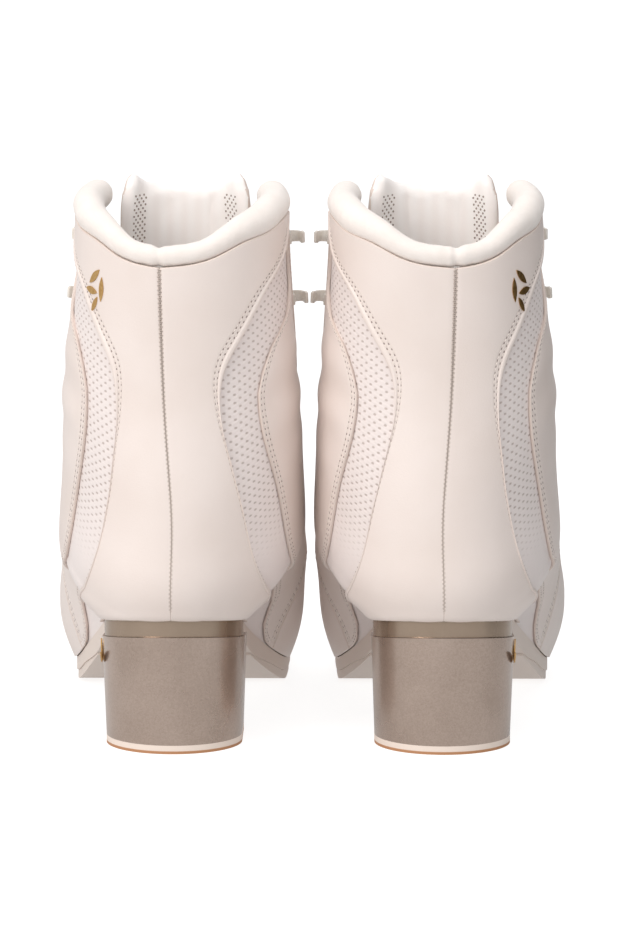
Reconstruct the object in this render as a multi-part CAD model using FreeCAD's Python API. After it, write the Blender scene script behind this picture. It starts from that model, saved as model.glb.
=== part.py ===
# A pair of figure-skating boots, without blades: each boot is a lasted leather upper on a block heel.
# Units are millimetres. In one boot's own frame y = 0 is near the back of the heel, +Y is towards
# the toe, z = 0 is the floor and x = 0 is the boot's centre line, with +X on the outer side of the foot.
import FreeCAD, Part
import math
import os

os.makedirs("parts", exist_ok=True)
Vec = FreeCAD.Vector

# ---- driving dimensions ----
sole_length = 258.0         # heel back to toe tip, along the feather line
ball_width = 106.0          # widest point of the upper, at the ball of the foot
shaft_height = 142.0        # back of the heel's feather line up to the cuff's back edge
heel_height = 54.0          # floor to the upper's bottom edge, at the back
boot_spacing = 106.2        # between the two boots' centre lines
heel_radius = 28.7          # round back of the heel, seen from above, at its top
heel_taper = 1.5            # how much the heel's foot is smaller than its top, each side
heel_offset = 0.6           # the heel's middle sits this far to the outer side
heel_length = 60.0          # back of the heel to its breast, at the top
lift_thickness = 3.4        # replaceable top-lift under the heel
plate_thickness = 6.6       # stiff sole plate under the heel seat and the waist
plate_inset = 1.0           # the plate is set in under the upper by this much
tread_thickness = 3.6       # forefoot outsole
board_thickness = 2.6       # lasting board inside the upper
footbed_thickness = 3.0     # removable insole
leather_thickness = 1.3     # outer panels
mesh_thickness = 1.0        # perforated side panels, set one leather deeper
counter_thickness = 1.8     # heel stiffener
puff_thickness = 1.5        # toe stiffener
pad_thickness = 3.0         # ankle foam
lining_thickness = 1.0
facing_thickness = 1.2      # reinforcing strip that carries the hooks and eyelets
tongue_leather = 1.2
tongue_foam = 5.0
tongue_depth = 8.4          # skin surface to the tongue's outer face
collar_radius = 4.3         # padded roll at the back of the cuff
collar_swell = 2.2          # extra radius of the roll at the sides
ply_gap = 0.2               # glue line between plies
glue_gap = 0.1              # glue line between the layers of the sole
seam_gap = 0.3              # between panels that meet edge to edge
hook_height = 6.4           # lace hooks stand this far off the facing
hook_width = 5.0
hook_plate = 1.1
eyelet_bore = 4.2
eyelet_flange = 8.0
stitch_width = 4.0

# ---- the last: how the sizes above stretch the drawn sections ----
drawn_length = 258.0
drawn_width = 106.0
drawn_shaft = 142.0
drawn_heel = 54.0
along = sole_length / drawn_length
across = ball_width / drawn_width
upward = shaft_height / drawn_shaft

# From the cuff to the toe: front y and z, back y and z, half width, roundness, taper,
# sideways shift of the section, sideways shift of its bottom edge.
sections = [
    (100, 252, 4, 252, 43.0, 2.20, 0.00, -2.5, -2.5),
    (99, 228, 4, 224, 42.6, 2.20, 0.00, -2.5, -2.5),
    (98, 202, 5, 196, 42.8, 2.20, -0.03, -2.3, -2.3),
    (99, 178, 6, 166, 44.4, 2.15, -0.06, -2.0, -2.0),
    (103, 156, 5, 136, 46.8, 2.10, -0.09, -1.5, -1.5),
    (113, 138, 1, 106, 47.85, 2.10, -0.12, -1.75, -0.6),
    (126, 123, -2, 79, 48.6, 2.10, -0.12, -1.7, 0.6),
    (139, 112, 2, 54, 49.8, 2.15, -0.10, -1.2, 0.6),
    (152, 103, 37, 30, 50.65, 2.20, -0.06, -0.45, 0.6),
    (165, 94, 80, 14, 51.8, 2.30, -0.02, 0.0, 0.9),
    (179, 85, 120, 0, 52.5, 2.35, 0.02, 1.5, 1.4),
    (194, 75, 157, -12, 52.9, 2.35, 0.04, 3.2, 2.0),
    (210, 65, 189, -13, 50.8, 2.35, 0.05, 2.9, 1.6),
    (227, 54, 218, -8, 44.6, 2.35, 0.05, -0.6, -0.6),
    (242, 44, 239, -1, 34.0, 2.30, 0.04, -2.8, -2.6),
    (252, 36, 252, 6, 21.8, 2.20, 0.02, -4.2, -4.0),
    (258, 26, 258, 14, 9.0, 2.10, 0.00, -5.0, -5.0),
]
toe_station = len(sections) - 1


def smooth(t):
    """0 to 1 with level ends"""
    t = min(max(t, 0.0), 1.0)
    return t * t * (3 - 2 * t)


def mix(a, b, t):
    return a + (b - a) * t


def spline(knots, values):
    """natural cubic spline through the values"""
    n = len(values)
    bend = [0.0] * n
    work = [0.0] * n
    for i in range(1, n - 1):
        before, after = knots[i] - knots[i - 1], knots[i + 1] - knots[i]
        share = before / (before + after)
        pivot = share * bend[i - 1] + 2.0
        bend[i] = (share - 1.0) / pivot
        kink = (values[i + 1] - values[i]) / after - (values[i] - values[i - 1]) / before
        work[i] = (6.0 * kink / (before + after) - share * work[i - 1]) / pivot
    bend[-1] = 0.0
    for i in range(n - 2, -1, -1):
        bend[i] = bend[i] * bend[i + 1] + work[i]
    bend[0] = 0.0

    def at(k):
        i = 0
        while i < n - 2 and knots[i + 1] < k:
            i += 1
        h = knots[i + 1] - knots[i]
        b = (k - knots[i]) / h
        a = 1 - b
        return (a * values[i] + b * values[i + 1]
                + ((a ** 3 - a) * bend[i] + (b ** 3 - b) * bend[i + 1]) * h * h / 6.0)
    return at


def lifted(y):
    """how much of a change in heel height reaches y: all at the heel, none at the ball"""
    return 1 - smooth((y - 20 * along) / (140 * along))


def place_z(y, z):
    """height of a drawn point, after the shaft and heel heights are set"""
    above = max(z - drawn_heel, 0.0)
    return z + above * (upward - 1) + (heel_height - drawn_heel) * lifted(y)


def section_columns():
    rows = []
    for fy, fz, by, bz, half, roundness, taper, shift, foot in sections:
        fy, by = fy * along, by * along
        heights = place_z(fy, fz), place_z(by, bz)
        rows.append((fy, heights[0], by, heights[1], half * across, roundness, taper, shift, foot))
    stations = list(range(len(rows)))
    return [spline(stations, [float(v) for v in column]) for column in zip(*rows)]


columns_of_sections = section_columns()
front_y, front_z, back_y, back_z, half_width, roundness_at, taper_at, shift_at, foot_at = columns_of_sections

sole_points_y = [-10, 2, 30, 60, 85, 110, 135, 160, 185, 215, 245, 270]
sole_points_z = [56, 54, 50, 46, 39, 28.5, 17.5, 10.5, 8.5, 10, 13.5, 18]
sole_z = spline([y * along for y in sole_points_y],
                [place_z(y * along, z) if z < drawn_heel else z + heel_height - drawn_heel
                 for y, z in zip(sole_points_y, sole_points_z)])

heel_back = 2.0 * along
waist_y = [y * along for y in (30, 45, 60, 80, 100, 120, 140, 160, 178, 198, 218, 236, 250, 256, 258)]
outer_half = [28.7, 28.9, 29.4, 31.2, 35, 40, 44, 46.5, 47, 44.5, 38, 28.5, 16, 8, 0]
inner_half = [28.7, 28.0, 27.2, 27.2, 30, 35.5, 41.5, 45, 46, 45.5, 41.5, 34, 22, 12, 0]
outer_side = spline(waist_y, [h * across for h in outer_half])
inner_side = spline(waist_y, [h * across for h in inner_half])


def sole_half(y, side):
    """half width of the feather line, where the upper meets the sole"""
    y = min(max(y, heel_back), waist_y[-1])
    if y < heel_back + heel_radius:
        rounded = math.sqrt(max(heel_radius ** 2 - (heel_back + heel_radius - y) ** 2, 0.0))
        return rounded * mix(1.0, across, smooth((y - heel_back) / heel_radius))
    return outer_side(y) if side > 0 else inner_side(y)


def raw_section(s, a):
    """a point of section s at angle a: 0 is the back or the sole, 180 the front"""
    power = 2 / roundness_at(s)
    cos_a, sin_a = math.cos(math.radians(a)), math.sin(math.radians(a))
    lengthwise = math.copysign(abs(cos_a) ** power, cos_a)
    sideways = math.copysign(abs(sin_a) ** power, sin_a)
    fy, fz, by, bz = front_y(s), front_z(s), back_y(s), back_z(s)
    x = half_width(s) * sideways * (1 + taper_at(s) * lengthwise)
    return x, mix(fy, by, (1 + lengthwise) / 2), mix(fz, bz, (1 + lengthwise) / 2)


def find_edge(s, lift):
    """angle at which section s comes down to the sole, or to lift above it"""
    x, y, z = raw_section(s, 0)
    if z >= sole_z(y) + lift:
        return 0.0
    low, high = 0.0, 120.0
    for _ in range(30):
        middle = (low + high) / 2
        x, y, z = raw_section(s, middle)
        if z < sole_z(y) + lift:
            low = middle
        else:
            high = middle
    return high


def heel_station(lift):
    """station whose back point stands on the sole"""
    low, high = 5.0, 8.0
    for _ in range(30):
        middle = (low + high) / 2
        x, y, z = raw_section(middle, 0)
        if z > sole_z(y) + lift:
            low = middle
        else:
            high = middle
    return low


squeeze_start, squeeze_full = 5.0, heel_station(0.0) + 0.06


def toward_foot(s):
    """0 in the shaft, 1 where the section stands on the sole"""
    return smooth((s - squeeze_start) / (squeeze_full - squeeze_start))


def squeeze(s, side):
    """how far the section is drawn in at the feather line"""
    at = max(s, squeeze_full)
    x, y, z = raw_section(at, find_edge(at, 0.0))
    share = sole_half(y, side) / max(x, 0.001)
    return mix(1.0, share, toward_foot(s))


def edge_table(lift):
    """edge angle along the boot, ready to look up"""
    per_station = 20
    angles = [find_edge(i / per_station, lift) for i in range(per_station * toe_station + 1)]

    def at(s):
        place = min(max(s * per_station, 0.0), per_station * toe_station - 0.001)
        i = int(place)
        return mix(angles[i], angles[i + 1], place - i)
    return at


edge_on_sole = edge_table(0.0)
squeeze_stations = [i / 10 for i in range(10 * toe_station + 1)]
squeeze_outer = spline(squeeze_stations, [squeeze(s, 1) for s in squeeze_stations])
squeeze_inner = spline(squeeze_stations, [squeeze(s, -1) for s in squeeze_stations])
seam_twist = 8.2            # degrees the back of the shaft is turned to the outer side


def skin(s, a):
    """the boot's outer surface"""
    turned = a + seam_twist * (1 - smooth((s - 2) / 5)) * (1 - abs(a) / 180)
    x, y, z = raw_section(s, turned)
    share = squeeze_outer(s) if a >= 0 else squeeze_inner(s)
    edge = edge_on_sole(s)
    drawn_in = 1 - smooth((abs(a) - edge) / (100 - edge))
    middle = mix(shift_at(s), foot_at(s), drawn_in * toward_foot(s))
    return Vec(middle + x * (1 - (1 - share) * drawn_in), y, z)


def layer(s, a, depth):
    """a point under the skin by depth, or outside it where depth is negative"""
    step_s, step_a = 0.04, 0.8
    s_low, s_high = max(s - step_s, 0), min(s + step_s, toe_station)
    down = skin(s_high, a) - skin(s_low, a)
    around = skin(s, a + step_a) - skin(s, a - step_a)
    normal = down.cross(around)
    here = skin(s, a)
    if normal.Length < 1e-9:
        return here
    normal.normalize()
    centre = Vec(shift_at(s), (front_y(s) + back_y(s)) / 2, (front_z(s) + back_z(s)) / 2)
    if normal.dot(here - centre) < 0:
        normal = -normal
    return here - normal * depth


# ---- solids from grids of points ----
def sharpened(points):
    """control points that make a cubic surface pass close to the points"""
    def sharpen(row):
        n = len(row)
        inner = [row[i] - (row[i - 1] - row[i] * 2 + row[i + 1]) * (1 / 6) for i in range(1, n - 1)]
        return [row[0]] + inner + [row[-1]]
    rows = [sharpen(row) for row in points]
    columns = [sharpen(list(column)) for column in zip(*rows)]
    return [list(row) for row in zip(*columns)]


def knot_row(count, degree):
    spans = count - degree
    return [float(i) for i in range(spans + 1)], [degree + 1] + [1] * (spans - 1) + [degree + 1]


def face_from(poles):
    degree_u, degree_v = min(3, len(poles) - 1), min(3, len(poles[0]) - 1)
    knots_u, mults_u = knot_row(len(poles), degree_u)
    knots_v, mults_v = knot_row(len(poles[0]), degree_v)
    surface = Part.BSplineSurface()
    surface.buildFromPolesMultsKnots(poles, mults_u, mults_v, knots_u, knots_v,
                                     False, False, degree_u, degree_v)
    return surface.toShape()


def apart(row_a, row_b):
    return max((p - q).Length for p, q in zip(row_a, row_b))


def patch_solid(outer_points, inner_points):
    """a sheet between two grids: their faces, and a ruled face along each open edge"""
    outer, inner = sharpened(outer_points), sharpened(inner_points)
    faces = [face_from(outer), face_from(inner)]
    borders = [(outer[0], inner[0]), (outer[-1], inner[-1]),
               ([row[0] for row in outer], [row[0] for row in inner]),
               ([row[-1] for row in outer], [row[-1] for row in inner])]
    for upper, lower in borders:
        one_point = max(apart(upper, [upper[0]] * len(upper)), apart(lower, [lower[0]] * len(lower)))
        if apart(upper, lower) > 1e-6 and one_point > 1e-6:
            faces.append(face_from([upper, lower]))
    shell = Part.Compound(faces)
    shell.sewShape()
    solid = Part.Solid(shell.Shells[0])
    if solid.Volume < 0:
        solid.reverse()
    return solid


def steps(count):
    return [i / (count - 1) for i in range(count)]


def ply(at, rows, columns, top_depth, thickness):
    """a sheet of leather, foam or stiffener: at(u, v) gives station and angle"""
    grid = [[at(u, v) for v in steps(columns)] for u in steps(rows)]
    outer = [[layer(s, a, top_depth) for s, a in row] for row in grid]
    inner = [[layer(s, a, top_depth + thickness) for s, a in row] for row in grid]
    return patch_solid(outer, inner)


def four_sided(left, right, top, bottom):
    """fills four curves that meet at their ends, each giving (station, angle) from 0 to 1"""
    corners = left(0), left(1), right(0), right(1)

    def at(u, v):
        point = []
        for k in (0, 1):
            across_value = mix(left(v)[k], right(v)[k], u) + mix(top(u)[k], bottom(u)[k], v)
            corner_value = mix(mix(corners[0][k], corners[1][k], v), mix(corners[2][k], corners[3][k], v), u)
            point.append(across_value - corner_value)
        return point[0], point[1]
    return at


# ---- pattern lines on the last ----
collar_at = spline([0, 25, 42, 64, 72, 98, 124, 140], [2.10, 1.98, 1.80, 1.68, 1.62, 1.55, 1.50, 1.50])
rear_line = spline([1.55, 1.85, 2.15, 2.4, 2.75, 3.1, 3.4, 3.7, 4.05,
                    4.4, 4.75, 5.1, 5.5, 6.0, 6.45, 7.0, 7.6, 8.1, 8.6],
                   [98, 91, 78, 64, 51, 40.5, 32.5, 28.5, 27.7,
                    29, 31.8, 34.4, 37.3, 40.1, 43.2, 48, 54.5, 59.5, 62])
front_line = spline([1.53, 2.0, 2.5, 2.85, 3.05, 3.25, 3.5, 3.85, 4.2,
                     4.6, 5.0, 5.5, 6.0, 6.7, 7.7, 8.5, 9.2, 9.9],
                    [107, 105, 100, 90, 79, 66, 57.5, 51.4, 51.2,
                     54, 58.2, 62.7, 65.5, 68.5, 75, 78.5, 73, 61])
facing_line = spline([1.18, 2.0, 3.0, 4.0, 5.0, 6.0, 7.0, 8.3], [124, 124, 124.5, 128, 136, 143, 148, 151])
rear_foot, front_foot = 8.6, 9.9
throat_station, throat_centre = 8.3, 8.75


def on_edge(s):
    return s, edge_on_sole(s)


def line_to_edge(line, start, end, shift=0.0):
    """follows a pattern line from the cuff down, and finishes exactly on the feather line"""
    def at(t):
        s = mix(start, end, t)
        fade = smooth((s - (end - 1.0)) / 1.0)
        return s, mix(line(s) + shift, edge_on_sole(end), fade)
    return at


def cuff_top(a_from, a_to, below=0.0):
    def at(t):
        a = mix(a_from, a_to, t)
        return collar_at(a) + below, a
    return at


def facing_edge(start, end, setback):
    """down beside the tongue, set back from the facing's edge by an angle"""
    def at(t):
        s = mix(start, end, t)
        return s, facing_line(s) - setback
    return at


def along_edge(s_from, s_to, power=1.0):
    def at(t):
        return on_edge(mix(s_from, s_to, t ** power))
    return at


def signed(at, side):
    return lambda u, v: (at(u, v)[0], side * at(u, v)[1])


degrees_per_mm = 1.33       # angle that spans a millimetre round the shaft
station_pitch = 27.0        # millimetres down the shaft from one station to the next
seam_angle = seam_gap / 2 * degrees_per_mm


def quarter_pattern():
    heel_foot = heel_station(0.0)

    def left(t):
        return mix(collar_at(0), heel_foot, t), seam_angle * (1 - t) + 0.001
    right = line_to_edge(rear_line, collar_at(98), rear_foot, -seam_angle)
    top = cuff_top(seam_angle, right(0)[1])
    bottom = along_edge(heel_foot, rear_foot, 2.0)
    return four_sided(left, right, top, bottom)


def mesh_pattern():
    lap = 7.0
    drop = 0.16
    left = line_to_edge(rear_line, collar_at(91) + drop, rear_foot - 0.3, -lap)
    right = line_to_edge(front_line, collar_at(114) + drop, front_foot + 0.25, lap)
    top = cuff_top(left(0)[1], right(0)[1], drop)
    bottom = along_edge(rear_foot - 0.3, front_foot + 0.25)
    return four_sided(left, right, top, bottom)


def eyestay_pattern():
    left = line_to_edge(front_line, collar_at(107), front_foot - 0.01, seam_angle)
    right = facing_edge(collar_at(124), throat_station, 0.0)
    top = cuff_top(left(0)[1], right(0)[1])
    bottom = vamp_seam(-0.006)
    return four_sided(left, right, top, bottom)


def vamp_seam(shift):
    """from the feather line up to the throat's corner"""
    def at(t):
        s = mix(front_foot, throat_station, smooth(t) * 0.35 + t * 0.65) + shift
        a = mix(edge_on_sole(front_foot + shift), facing_line(throat_station), t)
        return s, a
    return at


def vamp_pattern(toe_end):
    """over the toes from one feather line to the other, from the vamp seam to the toe"""
    seam = vamp_seam(0.006)
    seam_share = 0.62

    def start(folded):
        if folded < seam_share:
            return seam(folded / seam_share)
        t = (folded - seam_share) / (1 - seam_share)
        return mix(throat_station, throat_centre, smooth(t)), mix(facing_line(throat_station), 180, t)

    def at(u, v):
        s0, a0 = start(1 - abs(2 * v - 1))
        s = mix(s0, toe_end, u)
        spread = (180 - edge_on_sole(s)) / (180 - edge_on_sole(front_foot))
        a = 180 - (180 - a0) * spread
        return (s, a) if v <= 0.5 else (s, -a)
    return at


def toe_cap(s_from, s_to, edge):
    """over the toes between two stations, from one feather line to the other"""
    def at(u, v):
        s = mix(s_from, s_to, u)
        a = 180 - (180 - edge(s)) * abs(1 - 2 * v)
        return (s, a) if v <= 0.5 else (s, -a)
    return at


def closed_toe(at, rows, columns, top_depth, thickness, rise):
    """a ply over the toes, drawn together to a point at the tip"""
    grid = [[at(u, v) for v in steps(columns)] for u in steps(rows)]
    sheets = []
    for depth in (top_depth, top_depth + thickness):
        sheet = [[layer(s, a, depth) for s, a in row] for row in grid]
        low = (sheet[-1][0] + sheet[-1][-1]) * 0.5
        forward = min(2.2, max(sole_length - depth - low.y, 0.4))
        tip = Vec(low.x, low.y + forward, low.z + rise)
        sheets.append(sheet + [[tip] * columns])
    return patch_solid(sheets[0], sheets[1])


# ---- the sole ----
def edge_point(s):
    x, y, z = raw_section(s, edge_on_sole(s))
    return y, foot_at(s)


edge_rows = [edge_point(7.1 + i * (toe_station - 7.1) / 24) for i in range(25)]
sole_shift = spline([y for y, shift in edge_rows], [shift for y, shift in edge_rows])


def outline_face(inset, z):
    """the feather line's outline, set in, as a flat face at height z"""
    y_start, y_end = heel_back + inset, sole_length - inset
    shares = [(1 - math.cos(math.pi * t)) / 2 for t in steps(25)]
    sides = []
    for side in (1, -1):
        points = []
        for share in shares:
            y = mix(y_start, y_end, share)
            natural = mix(heel_back, sole_length, share)
            full = sole_half(natural, side)
            set_in = inset * min(1.0, full / (2 * inset + 0.001)) if inset > 0 else 0.0
            points.append(Vec(sole_shift(max(y, edge_rows[0][0])) + side * (full - set_in), y, z))
        sides.append(points)
    loop = sides[0] + sides[1][-2:0:-1]
    curve = Part.BSplineCurve()
    curve.interpolate(Points=loop, PeriodicFlag=True)
    return Part.Face(Part.Wire([curve.toShape()]))


def side_profile(y_from, y_to, top, bottom):
    """a block as wide as the boot, between two heights that follow the feather line"""
    reach = 80 * across
    ys = [mix(y_from, y_to, t) for t in steps(40)]
    edges = []
    for offset in (top, bottom):
        curve = Part.BSplineCurve()
        curve.interpolate(Points=[Vec(-reach, y, offset(y)) for y in ys])
        edges.append(curve.toShape())
    for y in (y_from, y_to):
        edges.append(Part.makeLine(Vec(-reach, y, top(y)), Vec(-reach, y, bottom(y))))
    wire = Part.Wire(Part.__sortEdges__(edges))
    return Part.Face(wire).extrude(Vec(2 * reach, 0, 0))


def sole_slab(inset, y_from, y_to, top, bottom):
    block = outline_face(inset, -20).extrude(Vec(0, 0, heel_height + 60))
    slab = block.common(side_profile(y_from, y_to, top, bottom))
    return slab.Solids[0]


def above_feather(offset):
    return lambda y: sole_z(y) + offset


lowest_feather = min(sole_z(y * along) for y in range(150, 220))
tread_start = 104 * along
skive_length = 30 * along


def tread_bottom(y):
    """flat on the floor at the ball, rising with the feather line towards the waist and the toe"""
    height = max(sole_z(y) - lowest_feather, 0.0)
    flattening = 1.2
    return height ** 2 / (height + flattening)


def tread_top(y):
    """the tread is pared thin where it starts, in the waist"""
    skive = mix(0.25, 1.0, smooth((y - tread_start) / skive_length))
    return tread_bottom(y) + tread_thickness * skive


def plate_bottom(y):
    """even thickness under the heel seat and the waist, and down onto the tread under the forefoot"""
    even = sole_z(y) - plate_thickness
    blend_start, blend_length = tread_start - 26 * along, 24 * along
    return mix(even, tread_top(y) + glue_gap, smooth((y - blend_start) / blend_length))


def heel_outline(radius, back, length, z):
    """half circle at the back, straight sides and a straight breast"""
    centre, breast = back + radius, back + length
    outer, inner = heel_offset + radius, heel_offset - radius
    arc = Part.Arc(Vec(outer, centre, z), Vec(heel_offset, back, z), Vec(inner, centre, z)).toShape()
    lines = [Part.makeLine(Vec(inner, centre, z), Vec(inner, breast, z)),
             Part.makeLine(Vec(inner, breast, z), Vec(outer, breast, z)),
             Part.makeLine(Vec(outer, breast, z), Vec(outer, centre, z))]
    return Part.Wire([arc] + lines)


heel_foot_radius = heel_radius - heel_taper
heel_foot_back = heel_back + 3.0
heel_foot_length = heel_length - 8.0


def make_heel():
    top_z = heel_height + 10
    slope = (top_z - lift_thickness) / (heel_height - plate_thickness - lift_thickness)
    foot = heel_outline(heel_foot_radius, heel_foot_back, heel_foot_length, lift_thickness)
    head_back = mix(heel_foot_back, heel_back, slope)
    head_length = mix(heel_foot_length, heel_length, slope)
    head = heel_outline(heel_foot_radius + heel_taper * slope, head_back, head_length, top_z)
    block = Part.makeLoft([foot, head], True, True)
    under = side_profile(-20, heel_length + 30, above_feather(-plate_thickness - glue_gap), lambda y: 0.0)
    return block.common(under).Solids[0]


def make_heel_lift():
    foot = heel_outline(heel_foot_radius, heel_foot_back, heel_foot_length, 0)
    return Part.Face(foot).extrude(Vec(0, 0, lift_thickness))


board_seat = 0.1
board_top = board_seat + board_thickness
footbed_seat = board_top + 0.3
inner_inset = 3.0
footbed_inset = 8.6
inner_edge = edge_table(board_top + 0.8)


def make_sole():
    plate = sole_slab(plate_inset, heel_back - 5, sole_length + 5, above_feather(0.0), plate_bottom)
    tread = sole_slab(plate_inset + 0.6, tread_start, sole_length + 5, tread_top, tread_bottom)
    board = sole_slab(inner_inset, heel_back - 5, sole_length + 5,
                      above_feather(board_top), above_feather(board_seat))
    footbed = sole_slab(footbed_inset, heel_back - 5, sole_length + 5,
                        above_feather(footbed_seat + footbed_thickness), above_feather(footbed_seat))
    return {"heel": make_heel(), "heel_lift": make_heel_lift(), "sole_plate": plate, "outsole": tread,
            "lasting_board": board, "footbed": footbed}


# ---- the upper ----
second_ply = leather_thickness + ply_gap
pad_depth = second_ply + max(mesh_thickness, counter_thickness) + ply_gap
lining_depth = pad_depth + pad_thickness + ply_gap
back_inset = 1.0


def below_collar(drop):
    return lambda a: collar_at(a) + drop


def rectangle(s_top, s_low, a_from, a_to):
    def at(u, v):
        a = mix(a_from, a_to, u)
        return mix(s_top(a), s_low, v), a
    return at


def counter_pattern():
    top_station = 4.5
    foot_back = heel_station(board_top + 1.2)
    foot_side = 7.15
    reach = 10.0

    def at(u, v):
        share = abs(2 * u - 1)
        side = 1 if u >= 0.5 else -1
        low = mix(foot_back, foot_side, share ** 2)
        s = mix(top_station, low, v)
        a = share * mix(rear_line(s) - reach, inner_edge(foot_side), smooth((v - 0.6) / 0.4))
        return s, side * a
    return at


def lining_patterns():
    drop = 0.42
    low = 8.9
    heel_foot = heel_station(board_top + 1.2)

    def split_line(gap):
        bow = 9.0

        def at(t):
            s = mix(collar_at(98) + drop, low, t)
            fade = smooth((s - (low - 1.0)) / 1.0)
            bowed = bow * smooth((s - 5.5) / 1.8) * smooth((low - s) / 0.9)
            return s, mix(rear_line(s) + gap, inner_edge(low), fade) + bowed
        return at
    def back_line(t):
        return mix(collar_at(0) + drop, heel_foot, t), back_inset * (1 - t) + 0.001

    def back_bottom(t):
        s = mix(heel_foot, low, t * t)
        return s, inner_edge(s)
    right = split_line(-0.3)
    back = four_sided(back_line, right, cuff_top(back_line(0)[1], right(0)[1], drop), back_bottom)
    side_left = split_line(0.3)
    side_right = facing_edge(collar_at(122) + drop, low, 1.5)
    side_top = cuff_top(side_left(0)[1], side_right(0)[1], drop)

    def side_bottom(t):
        return low, mix(inner_edge(low), side_right(1)[1], t)
    return back, four_sided(side_left, side_right, side_top, side_bottom)


def facing_strip(u, v):
    width = 14.0
    s = mix(1.66, 8.15, v)
    return s, facing_line(s) - 1.0 - width * (1 - u)


def seam_tape(u, v):
    reach = stitch_width / 2 * degrees_per_mm
    return mix(collar_at(0) + 0.03, heel_station(0.5), v), mix(-reach, reach, u)


def make_upper():
    pieces = {}
    lining_solids = []
    back_lining, side_lining = lining_patterns()
    for name, side in (("lateral", 1), ("medial", -1)):
        pieces["quarter_" + name] = ply(signed(quarter_pattern(), side), 16, 26, 0.0, leather_thickness)
        pieces["side_mesh_" + name] = ply(signed(mesh_pattern(), side), 12, 26, second_ply, mesh_thickness)
        pieces["eyestay_" + name] = ply(signed(eyestay_pattern(), side), 16, 26, 0.0, leather_thickness)
        pad = rectangle(below_collar(0.45), 6.4, 7.0, 100.0)
        pieces["ankle_pad_" + name] = ply(signed(pad, side), 14, 14, pad_depth, pad_thickness)
        pieces["facing_" + name] = ply(signed(facing_strip, side), 6, 26,
                                       -ply_gap / 2 - facing_thickness, facing_thickness)
        lining_solids.append(ply(signed(back_lining, side), 12, 20, lining_depth, lining_thickness))
        lining_solids.append(ply(signed(side_lining, side), 12, 20, lining_depth, lining_thickness))
    pieces["vamp"] = closed_toe(vamp_pattern(15.6), 20, 33, 0.0, leather_thickness, 1.6)
    pieces["toe_puff"] = closed_toe(toe_cap(12.9, 15.5, inner_edge), 10, 21, second_ply, puff_thickness, 1.6)
    vamp_lining_depth = second_ply + puff_thickness + ply_gap
    lining_solids.append(ply(toe_cap(9.2, 15.0, inner_edge), 18, 25, vamp_lining_depth, lining_thickness))
    pieces["lining"] = Part.Compound(lining_solids)
    pieces["heel_counter"] = ply(counter_pattern(), 15, 12, second_ply, counter_thickness)
    thread_rise, thread_depth = 0.5, 0.35
    pieces["back_seam"] = ply(seam_tape, 4, 22, -thread_rise, thread_depth)
    return pieces


# ---- the padded collar ----
def collar_radius_at(a):
    return collar_radius + collar_swell * smooth((abs(a) - 15) / 55)


def make_collar():
    end_angle, rows, ring_count = 118.0, 43, 9
    station_height = station_pitch * upward
    angles = [mix(-end_angle, end_angle, t) for t in steps(rows)]

    def centre_at(a):
        radius = collar_radius_at(a)
        depth = 0.61 * radius + leather_thickness + ply_gap + 0.25
        s = collar_at(abs(a)) - 0.80 * radius / station_height
        return layer(s, a, depth), layer(s, a, depth - 1.0)
    outer, inner = [], []
    for i, a in enumerate(angles):
        centre, outside = centre_at(a)
        ahead, behind = centre_at(a + 1.0)[0], centre_at(a - 1.0)[0]
        tangent = (ahead - behind).normalize()
        out = (outside - centre).normalize()
        up = tangent.cross(out).normalize()
        if up.z < 0:
            up = -up
        to_end = min(i, rows - 1 - i) * 2 * end_angle / (rows - 1) / degrees_per_mm
        radius = collar_radius_at(a)
        rounding = math.sqrt(max(1 - max(1 - to_end / radius, 0.0) ** 2, 0.0))
        pinch = 1 - 0.10 * math.exp(-(a / 2.5) ** 2)
        ring = []
        for k in range(2 * ring_count - 1):
            turn = math.pi * k / (ring_count - 1) - math.pi / 2
            ring.append(centre + (out * math.cos(turn) + up * math.sin(turn)) * radius * rounding * pinch)
        outer.append(ring[:ring_count])
        inner.append([ring[0]] + ring[:ring_count - 2:-1][1:])
    return patch_solid(outer, inner)


# ---- the tongue ----
tongue_spread = spline([0.9, 1.15, 1.45, 2.0, 4.0, 6.0, 8.0, 9.0], [36, 47, 54, 55, 49, 41, 34, 30])
tongue_top, tongue_dip, tongue_foot = 1.14, 0.16, 8.9


def tongue_pattern(inset):
    def at(u, v):
        swing = 2 * v - 1
        start = tongue_top + inset * 0.03 + tongue_dip * (1 - swing ** 2)
        s = mix(start, tongue_foot - inset * 0.03, u)
        a = 180 + swing * (tongue_spread(s) - inset)
        return (s, a) if a <= 180 else (s, a - 360)
    return at


def make_tongue():
    foam_depth = tongue_depth + tongue_leather + ply_gap
    backing_depth = foam_depth + tongue_foam + ply_gap
    return {"tongue_face": ply(tongue_pattern(0.0), 26, 17, tongue_depth, tongue_leather),
            "tongue_pad": ply(tongue_pattern(2.0), 24, 15, foam_depth, tongue_foam),
            "tongue_lining": ply(tongue_pattern(1.0), 26, 17, backing_depth, lining_thickness)}


# ---- hooks and eyelets ----
hook_stations = [2.05, 3.02]
eyelet_stations = [4.25, 4.95, 5.65, 6.35, 7.05, 7.75]
outer_hook_setback, inner_hook_setback, eyelet_setback = 3.5, 8.0, 7.0
barrel_wall = 0.5


def local_frame(s, a):
    """origin on the facing's face, and the outward, forward and downward directions there"""
    origin = layer(s, a, -ply_gap / 2 - facing_thickness)
    out = (layer(s, a, -3.0) - layer(s, a, -2.0)).normalize()
    forward = layer(s, a + math.copysign(1.0, a), 0) - layer(s, a, 0)
    forward = (forward - out * forward.dot(out)).normalize()
    down = out.cross(forward).normalize()
    return origin, out, forward, down


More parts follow.
